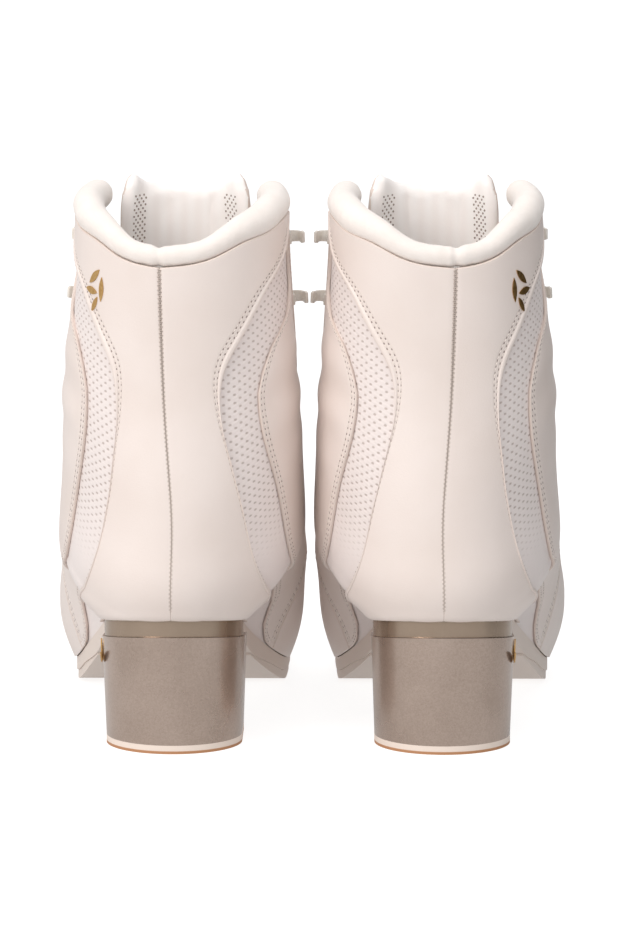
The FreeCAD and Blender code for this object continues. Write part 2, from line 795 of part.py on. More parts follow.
def hook_at(s, a):
    origin, out, forward, down = local_frame(s, a)
    seat = 0.15

    def point(ahead, above, side):
        return origin + forward * ahead + out * (above + seat) + down * side
    half = hook_width / 2
    outer_r, inner_r = hook_height / 2, hook_height / 2 - hook_plate
    tail, lip = -3.4, -3.0
    lip_top = hook_height + 0.5
    lip_under = lip_top - hook_plate

    def arc(radius, middle):
        return Part.Arc(point(0, middle - radius, -half), point(radius, middle, -half),
                        point(0, middle + radius, -half)).toShape()
    edges = [Part.makeLine(point(tail, 0, -half), point(0, 0, -half)),
             arc(outer_r, outer_r),
             Part.makeLine(point(0, hook_height, -half), point(lip, lip_top, -half)),
             Part.makeLine(point(lip, lip_top, -half), point(lip, lip_under, -half)),
             Part.makeLine(point(lip, lip_under, -half), point(0, hook_height - hook_plate, -half)),
             arc(inner_r, outer_r),
             Part.makeLine(point(0, hook_plate, -half), point(tail, hook_plate, -half)),
             Part.makeLine(point(tail, hook_plate, -half), point(tail, 0, -half))]
    body = Part.Face(Part.Wire(Part.__sortEdges__(edges))).extrude(down * hook_width)
    rivet_radius, rivet_height = 1.5, 0.7
    rivet = Part.makeCylinder(rivet_radius, rivet_height, point(tail / 2, hook_plate, 0), out)
    return body.fuse(rivet).removeSplitter().Solids[0]


def eyelet_at(s, a):
    origin, out, forward, down = local_frame(s, a)
    bore, barrel, flange = eyelet_bore / 2, eyelet_bore / 2 + barrel_wall, eyelet_flange / 2
    reach = facing_thickness + leather_thickness + 1.2
    seat, crown = 0.15, 1.0
    profile = [(bore, -reach), (barrel, -reach), (barrel, seat), (flange, seat), (flange, seat + 0.4),
               (flange - 0.5, crown), (barrel, crown), (bore, seat + 0.5)]
    points = [origin + forward * r + out * z for r, z in profile]
    face = Part.Face(Part.makePolygon(points + [points[0]]))
    return face.revolve(origin, out, 360).Solids[0]


def eyelet_hole(s, a):
    origin, out, forward, down = local_frame(s, a)
    radius = eyelet_bore / 2 + barrel_wall + 0.15
    depth, clearance = 5.0, 3.0
    return Part.makeCylinder(radius, depth + clearance, origin - out * depth, out)


def add_lacing(pieces):
    hooks, eyelets = [], []
    for name, side, setback in (("lateral", 1, outer_hook_setback), ("medial", -1, inner_hook_setback)):
        places = [(s, side * (facing_line(s) - eyelet_setback)) for s in eyelet_stations]
        holes = Part.Compound([eyelet_hole(s, a) for s, a in places])
        for panel in ("facing_" + name, "eyestay_" + name):
            pieces[panel] = pieces[panel].cut(holes).Solids[0]
        eyelets += [eyelet_at(s, a) for s, a in places]
        hooks += [hook_at(s, side * (facing_line(s) - setback)) for s in hook_stations]
    pieces["hooks"] = Part.Compound(hooks)
    pieces["eyelets"] = Part.Compound(eyelets)


# ---- gilt ornaments ----
def leaf(s, a, length, width, lean):
    """a pointed leaf laid on the skin"""
    foil = 0.25

    def at(u, v):
        travel = mix(-length / 2, length / 2, u)
        swell = (1 - (2 * u - 1) ** 2) * width / 2 + 0.05
        sideways = mix(-swell, swell, v)
        down = travel * math.cos(lean) - sideways * math.sin(lean)
        around = travel * math.sin(lean) + sideways * math.cos(lean)
        return s + down / station_pitch, a + around * degrees_per_mm
    return ply(at, 7, 4, -ply_gap / 2 - foil, foil)


def make_cuff_ornament():
    places = [(2.30, 44, 9, 2.6, 0.9), (2.46, 38, 9, 2.6, 0.1),
              (2.50, 47, 8, 2.6, 1.7), (2.68, 44, 7, 2.2, 0.6)]
    return Part.Compound([leaf(*place) for place in places])


def make_heel_ornament():
    """three raised leaves on the outer face of the heel"""
    foil = 0.5
    middle_y, middle_z = heel_back + heel_radius - 2.0, heel_height * 0.6
    side_lean = math.atan(heel_taper / (heel_height - plate_thickness - lift_thickness))
    leaves = []
    for turn in (-55, 0, 55):
        length, width = 9.0, 3.2
        tip, base = Vec(0, 0, length + 1.0), Vec(0, 0, 1.2)
        left, right = Vec(0, width / 2, length / 2 + 1), Vec(0, -width / 2, length / 2 + 1)
        sides = [Part.Arc(base, left, tip).toShape(), Part.Arc(tip, right, base).toShape()]
        shape = Part.Face(Part.Wire(sides)).extrude(Vec(foil, 0, 0))
        shape.rotate(Vec(0, 0, 0), Vec(1, 0, 0), turn)
        leaves.append(shape)
    group = Part.Compound(leaves)
    group.rotate(Vec(0, 0, 0), Vec(0, 1, 0), math.degrees(side_lean))
    at_height = (middle_z - lift_thickness) / (heel_height - plate_thickness - lift_thickness)
    outer_face = heel_offset + heel_foot_radius + heel_taper * at_height
    group.translate(Vec(outer_face + 0.12, middle_y, middle_z))
    return group


# ---- one boot, then the pair ----
def make_boot():
    pieces = make_sole()
    pieces.update(make_upper())
    pieces["collar"] = make_collar()
    pieces.update(make_tongue())
    add_lacing(pieces)
    pieces["cuff_ornament"] = make_cuff_ornament()
    pieces["heel_ornament"] = make_heel_ornament()
    return pieces


def write_pair():
    boot = make_boot()
    everything = Part.Compound(list(boot.values()))
    box = everything.BoundBox
    middle = (box.YMin + box.YMax) / 2
    for name, shape in boot.items():
        right = shape.copy()
        right.translate(Vec(boot_spacing / 2, -middle, 0))
        left = right.mirror(Vec(0, 0, 0), Vec(1, 0, 0))
        for side, placed in (("right", right), ("left", left)):
            placed.exportStep("parts/" + side + "_" + name + ".step")
    print("boot pieces", len(boot), "middle", round(middle, 3), "box", box)
    return boot


write_pair()
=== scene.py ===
import math
import bmesh
import bpy
import numpy as np
from mathutils import Matrix, Vector


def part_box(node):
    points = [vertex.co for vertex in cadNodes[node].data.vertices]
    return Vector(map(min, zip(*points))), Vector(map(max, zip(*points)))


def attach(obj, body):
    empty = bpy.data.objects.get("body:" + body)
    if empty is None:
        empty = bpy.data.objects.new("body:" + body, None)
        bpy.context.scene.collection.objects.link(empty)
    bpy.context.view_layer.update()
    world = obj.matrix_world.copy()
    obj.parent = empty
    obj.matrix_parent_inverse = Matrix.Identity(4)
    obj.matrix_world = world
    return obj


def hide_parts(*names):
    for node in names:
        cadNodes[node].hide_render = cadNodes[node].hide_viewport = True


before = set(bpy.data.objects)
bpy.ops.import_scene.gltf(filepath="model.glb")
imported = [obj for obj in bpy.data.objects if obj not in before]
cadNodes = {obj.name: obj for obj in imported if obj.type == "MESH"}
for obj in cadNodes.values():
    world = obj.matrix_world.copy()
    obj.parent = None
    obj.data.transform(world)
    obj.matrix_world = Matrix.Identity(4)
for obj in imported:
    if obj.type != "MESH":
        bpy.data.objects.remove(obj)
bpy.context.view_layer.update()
print("frame loaded,", len(cadNodes), "nodes")

# the right boot is made in millimetres in its own frame, then set in its place and mirrored to the left
liftLow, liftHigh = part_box("right_heel_lift")
heelFootBack = 5.0          # the heel foot's back edge, in the boot's own frame
heelOffset = 0.6            # the heel's middle is this far to the outer side
bootX = (liftLow.x + liftHigh.x) / 2 - heelOffset / 1000
bootY = liftLow.y - heelFootBack / 1000
mmPerDegree = 0.75
mmPerStation = 27.0


def toRow(points):
    return points / 1000 + np.array([bootX, bootY, 0.0])


def mix(a, b, t):
    return a + (b - a) * t


def smooth(t):
    t = np.clip(t, 0.0, 1.0)
    return t * t * (3 - 2 * t)


def naturalSpline(knots, values):
    knots, values = np.array(knots, float), np.array(values, float)
    count, gap = len(knots), np.diff(knots)
    matrix, right = np.eye(count), np.zeros(count)
    for i in range(1, count - 1):
        matrix[i, i - 1:i + 2] = gap[i - 1], 2 * (gap[i - 1] + gap[i]), gap[i]
        right[i] = 6 * ((values[i + 1] - values[i]) / gap[i] - (values[i] - values[i - 1]) / gap[i - 1])
    bend = np.linalg.solve(matrix, right)

    def at(k):
        i = np.clip(np.searchsorted(knots, k) - 1, 0, count - 2)
        b = (k - knots[i]) / gap[i]
        a = 1 - b
        curved = ((a ** 3 - a) * bend[i] + (b ** 3 - b) * bend[i + 1]) * gap[i] ** 2 / 6
        return a * values[i] + b * values[i + 1] + curved
    return at


# The last, by the same stations as the CAD, from the cuff to the toe: front y and z, back y and z, half width,
# roundness, taper, sideways shift of the section, sideways shift of its bottom edge.
lastSections = np.array([
    (100, 252, 4, 252, 43.0, 2.20, 0.00, -2.5, -2.5), (99, 228, 4, 224, 42.6, 2.20, 0.00, -2.5, -2.5),
    (98, 202, 5, 196, 42.8, 2.20, -0.03, -2.3, -2.3), (99, 178, 6, 166, 44.4, 2.15, -0.06, -2.0, -2.0),
    (103, 156, 5, 136, 46.8, 2.10, -0.09, -1.5, -1.5), (113, 138, 1, 106, 47.85, 2.10, -0.12, -1.75, -0.6),
    (126, 123, -2, 79, 48.6, 2.10, -0.12, -1.7, 0.6), (139, 112, 2, 54, 49.8, 2.15, -0.10, -1.2, 0.6),
    (152, 103, 37, 30, 50.65, 2.20, -0.06, -0.45, 0.6), (165, 94, 80, 14, 51.8, 2.30, -0.02, 0.0, 0.9),
    (179, 85, 120, 0, 52.5, 2.35, 0.02, 1.5, 1.4), (194, 75, 157, -12, 52.9, 2.35, 0.04, 3.2, 2.0),
    (210, 65, 189, -13, 50.8, 2.35, 0.05, 2.9, 1.6), (227, 54, 218, -8, 44.6, 2.35, 0.05, -0.6, -0.6),
    (242, 44, 239, -1, 34.0, 2.30, 0.04, -2.8, -2.6), (252, 36, 252, 6, 21.8, 2.20, 0.02, -4.2, -4.0),
    (258, 26, 258, 14, 9.0, 2.10, 0.00, -5.0, -5.0)])
toeStation = len(lastSections) - 1
frontY, frontZ, backY, backZ, halfWidth, roundnessAt, taperAt, shiftAt, footAt = [
    naturalSpline(range(toeStation + 1), column) for column in lastSections.T]
soleZ = naturalSpline([-10, 2, 30, 60, 85, 110, 135, 160, 185, 215, 245, 270],
                      [56, 54, 50, 46, 39, 28.5, 17.5, 10.5, 8.5, 10, 13.5, 18])
waistY = [30, 45, 60, 80, 100, 120, 140, 160, 178, 198, 218, 236, 250, 256, 258]
outerSide = naturalSpline(waistY, [28.7, 28.9, 29.4, 31.2, 35, 40, 44, 46.5, 47, 44.5, 38, 28.5, 16, 8, 0])
innerSide = naturalSpline(waistY, [28.7, 28.0, 27.2, 27.2, 30, 35.5, 41.5, 45, 46, 45.5, 41.5, 34, 22, 12, 0])
heelBack, heelRadius, soleLength = 2.0, 28.7, 258.0


def soleHalf(y, sign):
    y = np.clip(y, heelBack, waistY[-1])
    rounded = np.sqrt(np.maximum(heelRadius ** 2 - (heelBack + heelRadius - y) ** 2, 0.0))
    return np.where(y < heelBack + heelRadius, rounded, outerSide(y) if sign > 0 else innerSide(y))


def rawSection(s, a):
    power = 2 / roundnessAt(s)
    cosA, sinA = np.cos(np.radians(a)), np.sin(np.radians(a))
    lengthwise = np.sign(cosA) * np.abs(cosA) ** power
    sideways = np.sign(sinA) * np.abs(sinA) ** power
    x = halfWidth(s) * sideways * (1 + taperAt(s) * lengthwise)
    return x, mix(frontY(s), backY(s), (1 + lengthwise) / 2), mix(frontZ(s), backZ(s), (1 + lengthwise) / 2)


def findEdge(s, lift):
    s = np.asarray(s, float)
    x, y, z = rawSection(s, np.zeros_like(s))
    onBack = z >= soleZ(y) + lift
    low, high = np.zeros_like(s), np.full_like(s, 120.0)
    for _ in range(30):
        middle = (low + high) / 2
        x, y, z = rawSection(s, middle)
        under = z < soleZ(y) + lift
        low, high = np.where(under, middle, low), np.where(under, high, middle)
    return np.where(onBack, 0.0, high)


def heelStation(lift):
    tried = np.linspace(5.0, 8.0, 3001)
    x, y, z = rawSection(tried, np.zeros_like(tried))
    return tried[np.argmax(z <= soleZ(y) + lift)]


def edgeTable(lift):
    stations = np.arange(20 * toeStation + 1) / 20
    angles = findEdge(stations, lift)
    return lambda s: np.interp(s, stations, angles)


edgeOnSole = edgeTable(0.0)
innerEdge = edgeTable(3.5)
heelFoot = heelStation(0.0)
squeezeStart, squeezeFull = 5.0, heelFoot + 0.06


def towardFoot(s):
    return smooth((s - squeezeStart) / (squeezeFull - squeezeStart))


def squeezeSpline(sign):
    stations = np.arange(10 * toeStation + 1) / 10
    held = np.maximum(stations, squeezeFull)
    x, y, z = rawSection(held, findEdge(held, 0.0))
    share = soleHalf(y, sign) / np.maximum(x, 0.001)
    return naturalSpline(stations, mix(1.0, share, towardFoot(stations)))


squeezeOuter, squeezeInner = squeezeSpline(1), squeezeSpline(-1)
seamTwist = 8.2


def skin(s, a):
    turned = a + seamTwist * (1 - smooth((s - 2) / 5)) * (1 - np.abs(a) / 180)
    x, y, z = rawSection(s, turned)
    share = np.where(a >= 0, squeezeOuter(s), squeezeInner(s))
    edge = edgeOnSole(s)
    drawnIn = 1 - smooth((np.abs(a) - edge) / (100 - edge))
    middle = mix(shiftAt(s), footAt(s), drawnIn * towardFoot(s))
    return np.stack([middle + x * (1 - (1 - share) * drawnIn), y, z], -1)


def outward(s, a):
    down = skin(np.minimum(s + 0.04, toeStation), a) - skin(np.maximum(s - 0.04, 0), a)
    around = skin(s, a + 0.8) - skin(s, a - 0.8)
    normal = np.cross(down, around)
    normal /= np.maximum(np.linalg.norm(normal, axis=-1, keepdims=True), 1e-9)
    centre = np.stack([shiftAt(s), (frontY(s) + backY(s)) / 2, (frontZ(s) + backZ(s)) / 2], -1)
    facing = np.sum(normal * (skin(s, a) - centre), -1, keepdims=True)
    return np.where(facing < 0, -normal, normal)


def layer(s, a, depth):
    s, a, depth = np.broadcast_arrays(np.asarray(s, float), np.asarray(a, float), np.asarray(depth, float))
    return skin(s, a) - outward(s, a) * depth[..., None]


# pattern lines, as in the CAD
collarAt = naturalSpline([0, 25, 42, 64, 72, 98, 124, 140], [2.10, 1.98, 1.80, 1.68, 1.62, 1.55, 1.50, 1.50])
rearLine = naturalSpline([1.55, 1.85, 2.15, 2.4, 2.75, 3.1, 3.4, 3.7, 4.05, 4.4, 4.75, 5.1, 5.5, 6.0, 6.45, 7.0, 7.6,
                          8.1, 8.6],
                         [98, 91, 78, 64, 51, 40.5, 32.5, 28.5, 27.7, 29, 31.8, 34.4, 37.3, 40.1, 43.2, 48, 54.5,
                          59.5, 62])
frontLine = naturalSpline([1.53, 2.0, 2.5, 2.85, 3.05, 3.25, 3.5, 3.85, 4.2, 4.6, 5.0, 5.5, 6.0, 6.7, 7.7, 8.5, 9.2,
                           9.9],
                          [107, 105, 100, 90, 79, 66, 57.5, 51.4, 51.2, 54, 58.2, 62.7, 65.5, 68.5, 75, 78.5, 73, 61])
facingLine = naturalSpline([1.18, 2.0, 3.0, 4.0, 5.0, 6.0, 7.0, 8.3], [124, 124, 124.5, 128, 136, 143, 148, 151])
tongueSpread = naturalSpline([0.9, 1.15, 1.45, 2.0, 4.0, 6.0, 8.0, 9.0], [36, 47, 54, 55, 49, 41, 34, 30])
rearFoot, frontFoot, throatStation, throatCentre = 8.6, 9.9, 8.3, 8.75
seamAngle = 0.2


def lineToEdge(line, start, end, shift=0.0):
    def at(t):
        s = mix(start, end, t)
        return np.array([s, mix(line(s) + shift, edgeOnSole(end), smooth(s - (end - 1.0)))])
    return at


def cuffTop(angleFrom, angleTo, below=0.0):
    def at(t):
        a = mix(angleFrom, angleTo, t)
        return np.array([collarAt(a) + below, a])
    return at


def alongEdge(stationFrom, stationTo, power=1.0):
    def at(t):
        s = mix(stationFrom, stationTo, t ** power)
        return np.array([s, edgeOnSole(s)])
    return at


def facingEdge(start, end, setback):
    def at(t):
        s = mix(start, end, t)
        return np.array([s, facingLine(s) - setback])
    return at


def vampSeam(shift):
    def at(t):
        s = mix(frontFoot, throatStation, smooth(t) * 0.35 + t * 0.65) + shift
        return np.array([s, mix(edgeOnSole(frontFoot + shift), facingLine(throatStation), t) + 0 * s])
    return at


def fourSided(left, right, top, bottom):
    def corner(line, t):
        return np.reshape(line(np.float64(t)), (2, 1, 1))

    def at(u, v):
        sides = mix(left(v), right(v), u) + mix(top(u), bottom(u), v)
        corners = mix(mix(corner(left, 0), corner(left, 1), v), mix(corner(right, 0), corner(right, 1), v), u)
        return sides - corners
    return at


def quarterPattern():
    right = lineToEdge(rearLine, collarAt(98), rearFoot, -seamAngle)

    def left(t):
        return np.array([mix(collarAt(0), heelFoot, t), seamAngle * (1 - t) + 0.001])
    return fourSided(left, right, cuffTop(seamAngle, right(0.0)[1]), alongEdge(heelFoot, rearFoot, 2.0))


def meshPattern():
    lap, drop = 7.0, 0.16
    left = lineToEdge(rearLine, collarAt(91) + drop, rearFoot - 0.3, -lap)
    right = lineToEdge(frontLine, collarAt(114) + drop, frontFoot + 0.25, lap)
    return fourSided(left, right, cuffTop(left(0.0)[1], right(0.0)[1], drop),
                     alongEdge(rearFoot - 0.3, frontFoot + 0.25))


def eyestayPattern():
    left = lineToEdge(frontLine, collarAt(107), frontFoot - 0.01, seamAngle)
    right = facingEdge(collarAt(124), throatStation, 0.0)
    return fourSided(left, right, cuffTop(left(0.0)[1], right(0.0)[1]), vampSeam(-0.006))


def facingPattern(u, v):
    s = mix(1.66, 8.15, v)
    return np.array([s, facingLine(s) - mix(15.0, 1.0, u)])


def liningPattern(u, v):
    s = mix(collarAt(122 * u) + 0.42, 8.9, v)
    return np.array([s, mix(np.maximum(innerEdge(s), 0.5), facingLine(s) - 1.5, u)])


def padPattern(u, v):
    a = mix(7.0, 100.0, u)
    return np.array([mix(collarAt(a) + 0.45, 6.4, v), a])


def vampPattern(u, v):
    seam, seamShare, toeEnd = vampSeam(0.006), 0.62, 15.6
    folded = 1 - np.abs(2 * v - 1)
    s0, a0 = seam(np.minimum(folded / seamShare, 1.0))
    t = np.clip((folded - seamShare) / (1 - seamShare), 0, 1)
    s0 = np.where(folded < seamShare, s0, mix(throatStation, throatCentre, smooth(t)))
    a0 = np.where(folded < seamShare, a0, mix(facingLine(throatStation), 180, t))
    s = mix(s0, toeEnd, u)
    spread = (180 - edgeOnSole(s)) / (180 - edgeOnSole(frontFoot))
    a = 180 - (180 - a0) * spread
    return np.array([s, np.where(v <= 0.5, a, -a)])


def vampLiningPattern(u, v):
    s = mix(9.2, 15.0, u)
    a = 180 - (180 - innerEdge(s)) * np.abs(1 - 2 * v)
    return np.array([s, np.where(v <= 0.5, a, -a)])


def tonguePattern(inset):
    def at(u, v):
        swing = 2 * v - 1
        s = mix(1.05 + inset * 0.03 + 0.27 * (1 - swing ** 2), 8.9 - inset * 0.03, u)
        a = 180 + swing * (tongueSpread(s) - inset + 1.5 * (1 - smooth((s - 1) / 2)))
        return np.array([s, np.where(a <= 180, a, a - 360)])
    return at


# sheets of leather and knit: an outer face with rounded edges, joined to a coarser hidden face
edgeSteps = [0.0, 0.1, 0.3, 0.7]        # millimetres from a cut edge, where the rounding needs its points
inwardStride = 4                        # the hidden side of a sheet has one point for every four


def surfaceOf(pattern, sign, top, relief=None, radius=0.5):
    line = np.linspace(0, 1, 61)
    u, v = np.meshgrid(line, line, indexing="ij")
    s, a = pattern(u, v)
    points = layer(s, sign * a, top)
    lengthsU = np.linalg.norm(np.diff(points, axis=0), axis=2).sum(0)
    lengthsV = np.linalg.norm(np.diff(points, axis=1), axis=2).sum(1)

    def lengthU(v):
        return np.maximum(np.interp(v, line, lengthsU), 8.0)

    def lengthV(u):
        return np.maximum(np.interp(u, line, lengthsV), 8.0)

    def at(u, v, lift=0.0):
        s, a = pattern(u, v)
        gaps = [u * lengthU(v), (1 - u) * lengthU(v), v * lengthV(u), (1 - v) * lengthV(u)]
        nearest = np.minimum.reduce(gaps)
        rounded = radius - np.sqrt(np.maximum(radius ** 2 - np.maximum(radius - nearest, 0) ** 2, 0))
        height = relief(gaps, s) if relief else 0.0
        return layer(s, sign * a, top + rounded - height - lift), s, a, nearest
    return {"at": at, "lengthU": lengthU, "lengthV": lengthV, "sign": sign, "top": top, "pattern": pattern}


def spread(count, length, steps):
    inset = np.array(steps)[:, None] / length
    inner = np.linspace(0, 1, count - 2 * len(steps) + 2)[1:-1, None]
    middle = inset[-1] + (1 - 2 * inset[-1]) * inner
    return np.concatenate([inset, middle, 1 - inset[::-1]])


def meshFrom(name, vertices, faces):
    mesh = bpy.data.meshes.new(name)
    mesh.from_pydata([tuple(p) for p in vertices], [], faces)
    obj = bpy.data.objects.new(name, mesh)
    bpy.context.scene.collection.objects.link(obj)
    return obj


def tidyNormals(obj, merge=0.000001):
    work = bmesh.new()
    work.from_mesh(obj.data)
    bmesh.ops.remove_doubles(work, verts=work.verts, dist=merge)
    bmesh.ops.dissolve_degenerate(work, edges=work.edges, dist=merge)
    bmesh.ops.recalc_face_normals(work, faces=work.faces)
    work.to_mesh(obj.data)
    work.free()
    obj.data.shade_smooth()


def storeValues(obj, name, values, kind="FLOAT"):
    attribute = obj.data.attributes.new(name, kind, "POINT")
    attribute.data.foreach_set("value" if kind == "FLOAT" else "vector", np.asarray(values, np.float32).ravel())


def closedSheet(name, outer, inner, stored):
    rows, columns = outer.shape[:2]
    innerRows, innerColumns = inner.shape[:2]
    first = rows * columns
    faces = [(i * columns + j, (i + 1) * columns + j, (i + 1) * columns + j + 1, i * columns + j + 1)
             for i in range(rows - 1) for j in range(columns - 1)]
    faces += [(first + i * innerColumns + j, first + i * innerColumns + j + 1,
               first + (i + 1) * innerColumns + j + 1, first + (i + 1) * innerColumns + j)
              for i in range(innerRows - 1) for j in range(innerColumns - 1)]
    k = inwardStride
    for row, innerRow in ((0, 0), (rows - 1, innerRows - 1)):
        for j in range(innerColumns - 1):
            fine = [row * columns + j * k + n for n in range(k + 1)]
            faces.append(fine + [first + innerRow * innerColumns + j + 1, first + innerRow * innerColumns + j])
    for column, innerColumn in ((0, 0), (columns - 1, innerColumns - 1)):
        for i in range(innerRows - 1):
            fine = [(i * k + n) * columns + column for n in range(k + 1)]
            faces.append(fine + [first + (i + 1) * innerColumns + innerColumn,
                                 first + i * innerColumns + innerColumn])
    obj = meshFrom(name, toRow(np.concatenate([outer.reshape(-1, 3), inner.reshape(-1, 3)])), faces)
    for key, (values, innerValue) in stored.items():
        flat = values.reshape(first, -1)
        rest = np.full((innerRows * innerColumns, flat.shape[1]), innerValue, float)
        storeValues(obj, key, np.concatenate([flat, rest]), "FLOAT" if flat.shape[1] == 1 else "FLOAT_VECTOR")
    tidyNormals(obj)
    return obj


def sheetPiece(name, face, rows, columns, thickness, steps=edgeSteps):
    rows, columns = rows * inwardStride + 1, columns * inwardStride + 1
    nominalU = spread(rows, face["lengthU"](np.array([0.5])), steps)[:, 0]
    nominalV = spread(columns, face["lengthV"](np.array([0.5])), steps)[:, 0]
    u = spread(rows, face["lengthU"](nominalV), steps)
    v = spread(columns, face["lengthV"](nominalU), steps).T
    outer, s, a, nearest = face["at"](u, v)
    k = inwardStride
    inner = layer(s[::k, ::k], face["sign"] * a[::k, ::k], face["top"] + thickness)
    flatPlace = np.stack([a * mmPerDegree, s * mmPerStation, 0 * s], -1)
    shown = 1 - smooth((s - 5.4) / 1.3)
    stored = {"edge": (nearest, 0.0), "flatPlace": (flatPlace, 0.0), "embossed": (shown, 0.0)}
    return closedSheet(name, outer, inner, stored)


def addNode(tree, kind, inputs=None, **settings):
    node = tree.nodes.new(kind)
    for key, value in settings.items():
        setattr(node, key, value)
    for key, value in (inputs or {}).items():
        if isinstance(value, bpy.types.NodeSocket):
            tree.links.new(value, node.inputs[key])
        else:
            node.inputs[key].default_value = value
    return node


def newTree(name, sockets):
    tree = bpy.data.node_groups.new(name, "GeometryNodeTree")
    tree.interface.new_socket("Geometry", in_out="INPUT", socket_type="NodeSocketGeometry")
    for label, kind, value in sockets:
        socket = tree.interface.new_socket(label, in_out="INPUT", socket_type="NodeSocket" + kind)
        if value is not None:
            socket.default_value = value
    tree.interface.new_socket("Geometry", in_out="OUTPUT", socket_type="NodeSocketGeometry")
    return tree, addNode(tree, "NodeGroupInput").outputs


def finishTree(tree, geometry, material):
    whole = addNode(tree, "GeometryNodeRealizeInstances", {"Geometry": geometry}).outputs[0]
    painted = addNode(tree, "GeometryNodeSetMaterial", {"Geometry": whole, "Material": material}).outputs[0]
    smoothed = addNode(tree, "GeometryNodeSetShadeSmooth", {"Geometry": painted}).outputs[0]
    addNode(tree, "NodeGroupOutput", {"Geometry": smoothed})


def runTree(obj, tree, values):
    modifier = obj.modifiers.new("made", "NODES")
    modifier.node_group = tree
    for item in tree.interface.items_tree:
        if item.in_out == "INPUT" and item.name in values:
            modifier[item.identifier] = values[item.name]
    bakeModifiers(obj)


def bakeModifiers(obj):
    graph = bpy.context.evaluated_depsgraph_get()
    made = bpy.data.meshes.new_from_object(obj.evaluated_get(graph), preserve_all_data_layers=True, depsgraph=graph)
    obj.modifiers.clear()
    obj.data = made


def alignedRotation(tree, normal, heading):
    upright = addNode(tree, "FunctionNodeAlignRotationToVector", {"Vector": normal}, axis="Z").outputs[0]
    return addNode(tree, "FunctionNodeAlignRotationToVector", {"Rotation": upright, "Vector": heading},
                   axis="X", pivot_axis="Z").outputs[0]


def namedVector(tree, name):
    return addNode(tree, "GeometryNodeInputNamedAttribute", {"Name": name},
                   data_type="FLOAT_VECTOR").outputs["Attribute"]


def makeStitchTree():
    tree, given = newTree("stitchRow", [("Pitch", "Float", 0.0025), ("Length", "Float", 0.0016),
                                        ("Thread", "Float", 0.00026),
                                        ("Slant", "Float", 0.0), ("Hole", "Float", 0.0004),
                                        ("Thread Finish", "Material", None),
                                        ("Hole Finish", "Material", None)])
    path = addNode(tree, "GeometryNodeMeshToCurve", {"Mesh": given["Geometry"]}).outputs[0]
    evenPath = addNode(tree, "GeometryNodeResampleCurve", {"Curve": path, "Length": given["Pitch"]},
                       mode="LENGTH").outputs[0]
    tangent = addNode(tree, "GeometryNodeInputTangent").outputs[0]
    turn = alignedRotation(tree, namedVector(tree, "outward"), tangent)
    index = addNode(tree, "GeometryNodeInputIndex").outputs[0]
    odd = addNode(tree, "ShaderNodeMath", {0: index, 1: 2.0}, operation="MODULO").outputs[0]
    swing = addNode(tree, "ShaderNodeMath", {0: odd, 1: 2.0, 2: -1.0}, operation="MULTIPLY_ADD").outputs[0]
    angle = addNode(tree, "ShaderNodeMath", {0: swing, 1: given["Slant"]}, operation="MULTIPLY").outputs[0]
    spin = addNode(tree, "FunctionNodeAxisAngleToRotation", {"Axis": (0, 0, 1), "Angle": angle}).outputs[0]
    turned = addNode(tree, "FunctionNodeRotateRotation", {"Rotation": turn, "Rotate By": spin},
                     rotation_space="LOCAL").outputs[0]
    ball = addNode(tree, "GeometryNodeMeshUVSphere", {"Segments": 6, "Rings": 4, "Radius": 1.0}).outputs[0]
    halfLength = addNode(tree, "ShaderNodeMath", {0: given["Length"], 1: 0.5}, operation="MULTIPLY").outputs[0]
    size = addNode(tree, "ShaderNodeCombineXYZ", {"X": halfLength, "Y": given["Thread"],
                                                  "Z": given["Thread"]}).outputs[0]
    threads = addNode(tree, "GeometryNodeInstanceOnPoints", {"Points": evenPath, "Instance": ball, "Rotation": turned,
                                                             "Scale": size}).outputs[0]
    disc = addNode(tree, "GeometryNodeMeshCircle", {"Vertices": 8, "Radius": 1.0},
                   fill_type="TRIANGLE_FAN").outputs[0]
    halfPitch = addNode(tree, "ShaderNodeMath", {0: given["Pitch"], 1: 0.5}, operation="MULTIPLY").outputs[0]
    along = addNode(tree, "ShaderNodeVectorMath", {0: tangent, "Scale": halfPitch}, operation="SCALE").outputs[0]
    shifted = addNode(tree, "GeometryNodeSetPosition", {"Geometry": evenPath, "Offset": along}).outputs[0]
    holes = addNode(tree, "GeometryNodeInstanceOnPoints", {"Points": shifted, "Instance": disc, "Rotation": turn,
                                                           "Scale": given["Hole"]}).outputs[0]
    paintedHoles = addNode(tree, "GeometryNodeSetMaterial",
                           {"Geometry": holes, "Material": given["Hole Finish"]}).outputs[0]
    paintedThreads = addNode(tree, "GeometryNodeSetMaterial",
                             {"Geometry": threads, "Material": given["Thread Finish"]}).outputs[0]
    both = addNode(tree, "GeometryNodeJoinGeometry")
    tree.links.new(paintedHoles, both.inputs[0])
    tree.links.new(paintedThreads, both.inputs[0])
    whole = addNode(tree, "GeometryNodeRealizeInstances", {"Geometry": both.outputs[0]}).outputs[0]
    smoothed = addNode(tree, "GeometryNodeSetShadeSmooth", {"Geometry": whole}).outputs[0]
    addNode(tree, "NodeGroupOutput", {"Geometry": smoothed})
    return tree


def makeFastenerTree():
    tree, given = newTree("fastenersOnPoints", [("Part", "Object", None), ("Finish", "Material", None)])
    cloud = addNode(tree, "GeometryNodeMeshToPoints", {"Mesh": given["Geometry"]}).outputs[0]
    part = addNode(tree, "GeometryNodeObjectInfo", {"Object": given["Part"]}).outputs["Geometry"]
    turn = alignedRotation(tree, namedVector(tree, "outward"), namedVector(tree, "heading"))
    placed = addNode(tree, "GeometryNodeInstanceOnPoints",
                     {"Points": cloud, "Instance": part, "Rotation": turn}).outputs[0]
    finishTree(tree, placed, given["Finish"])
    return tree


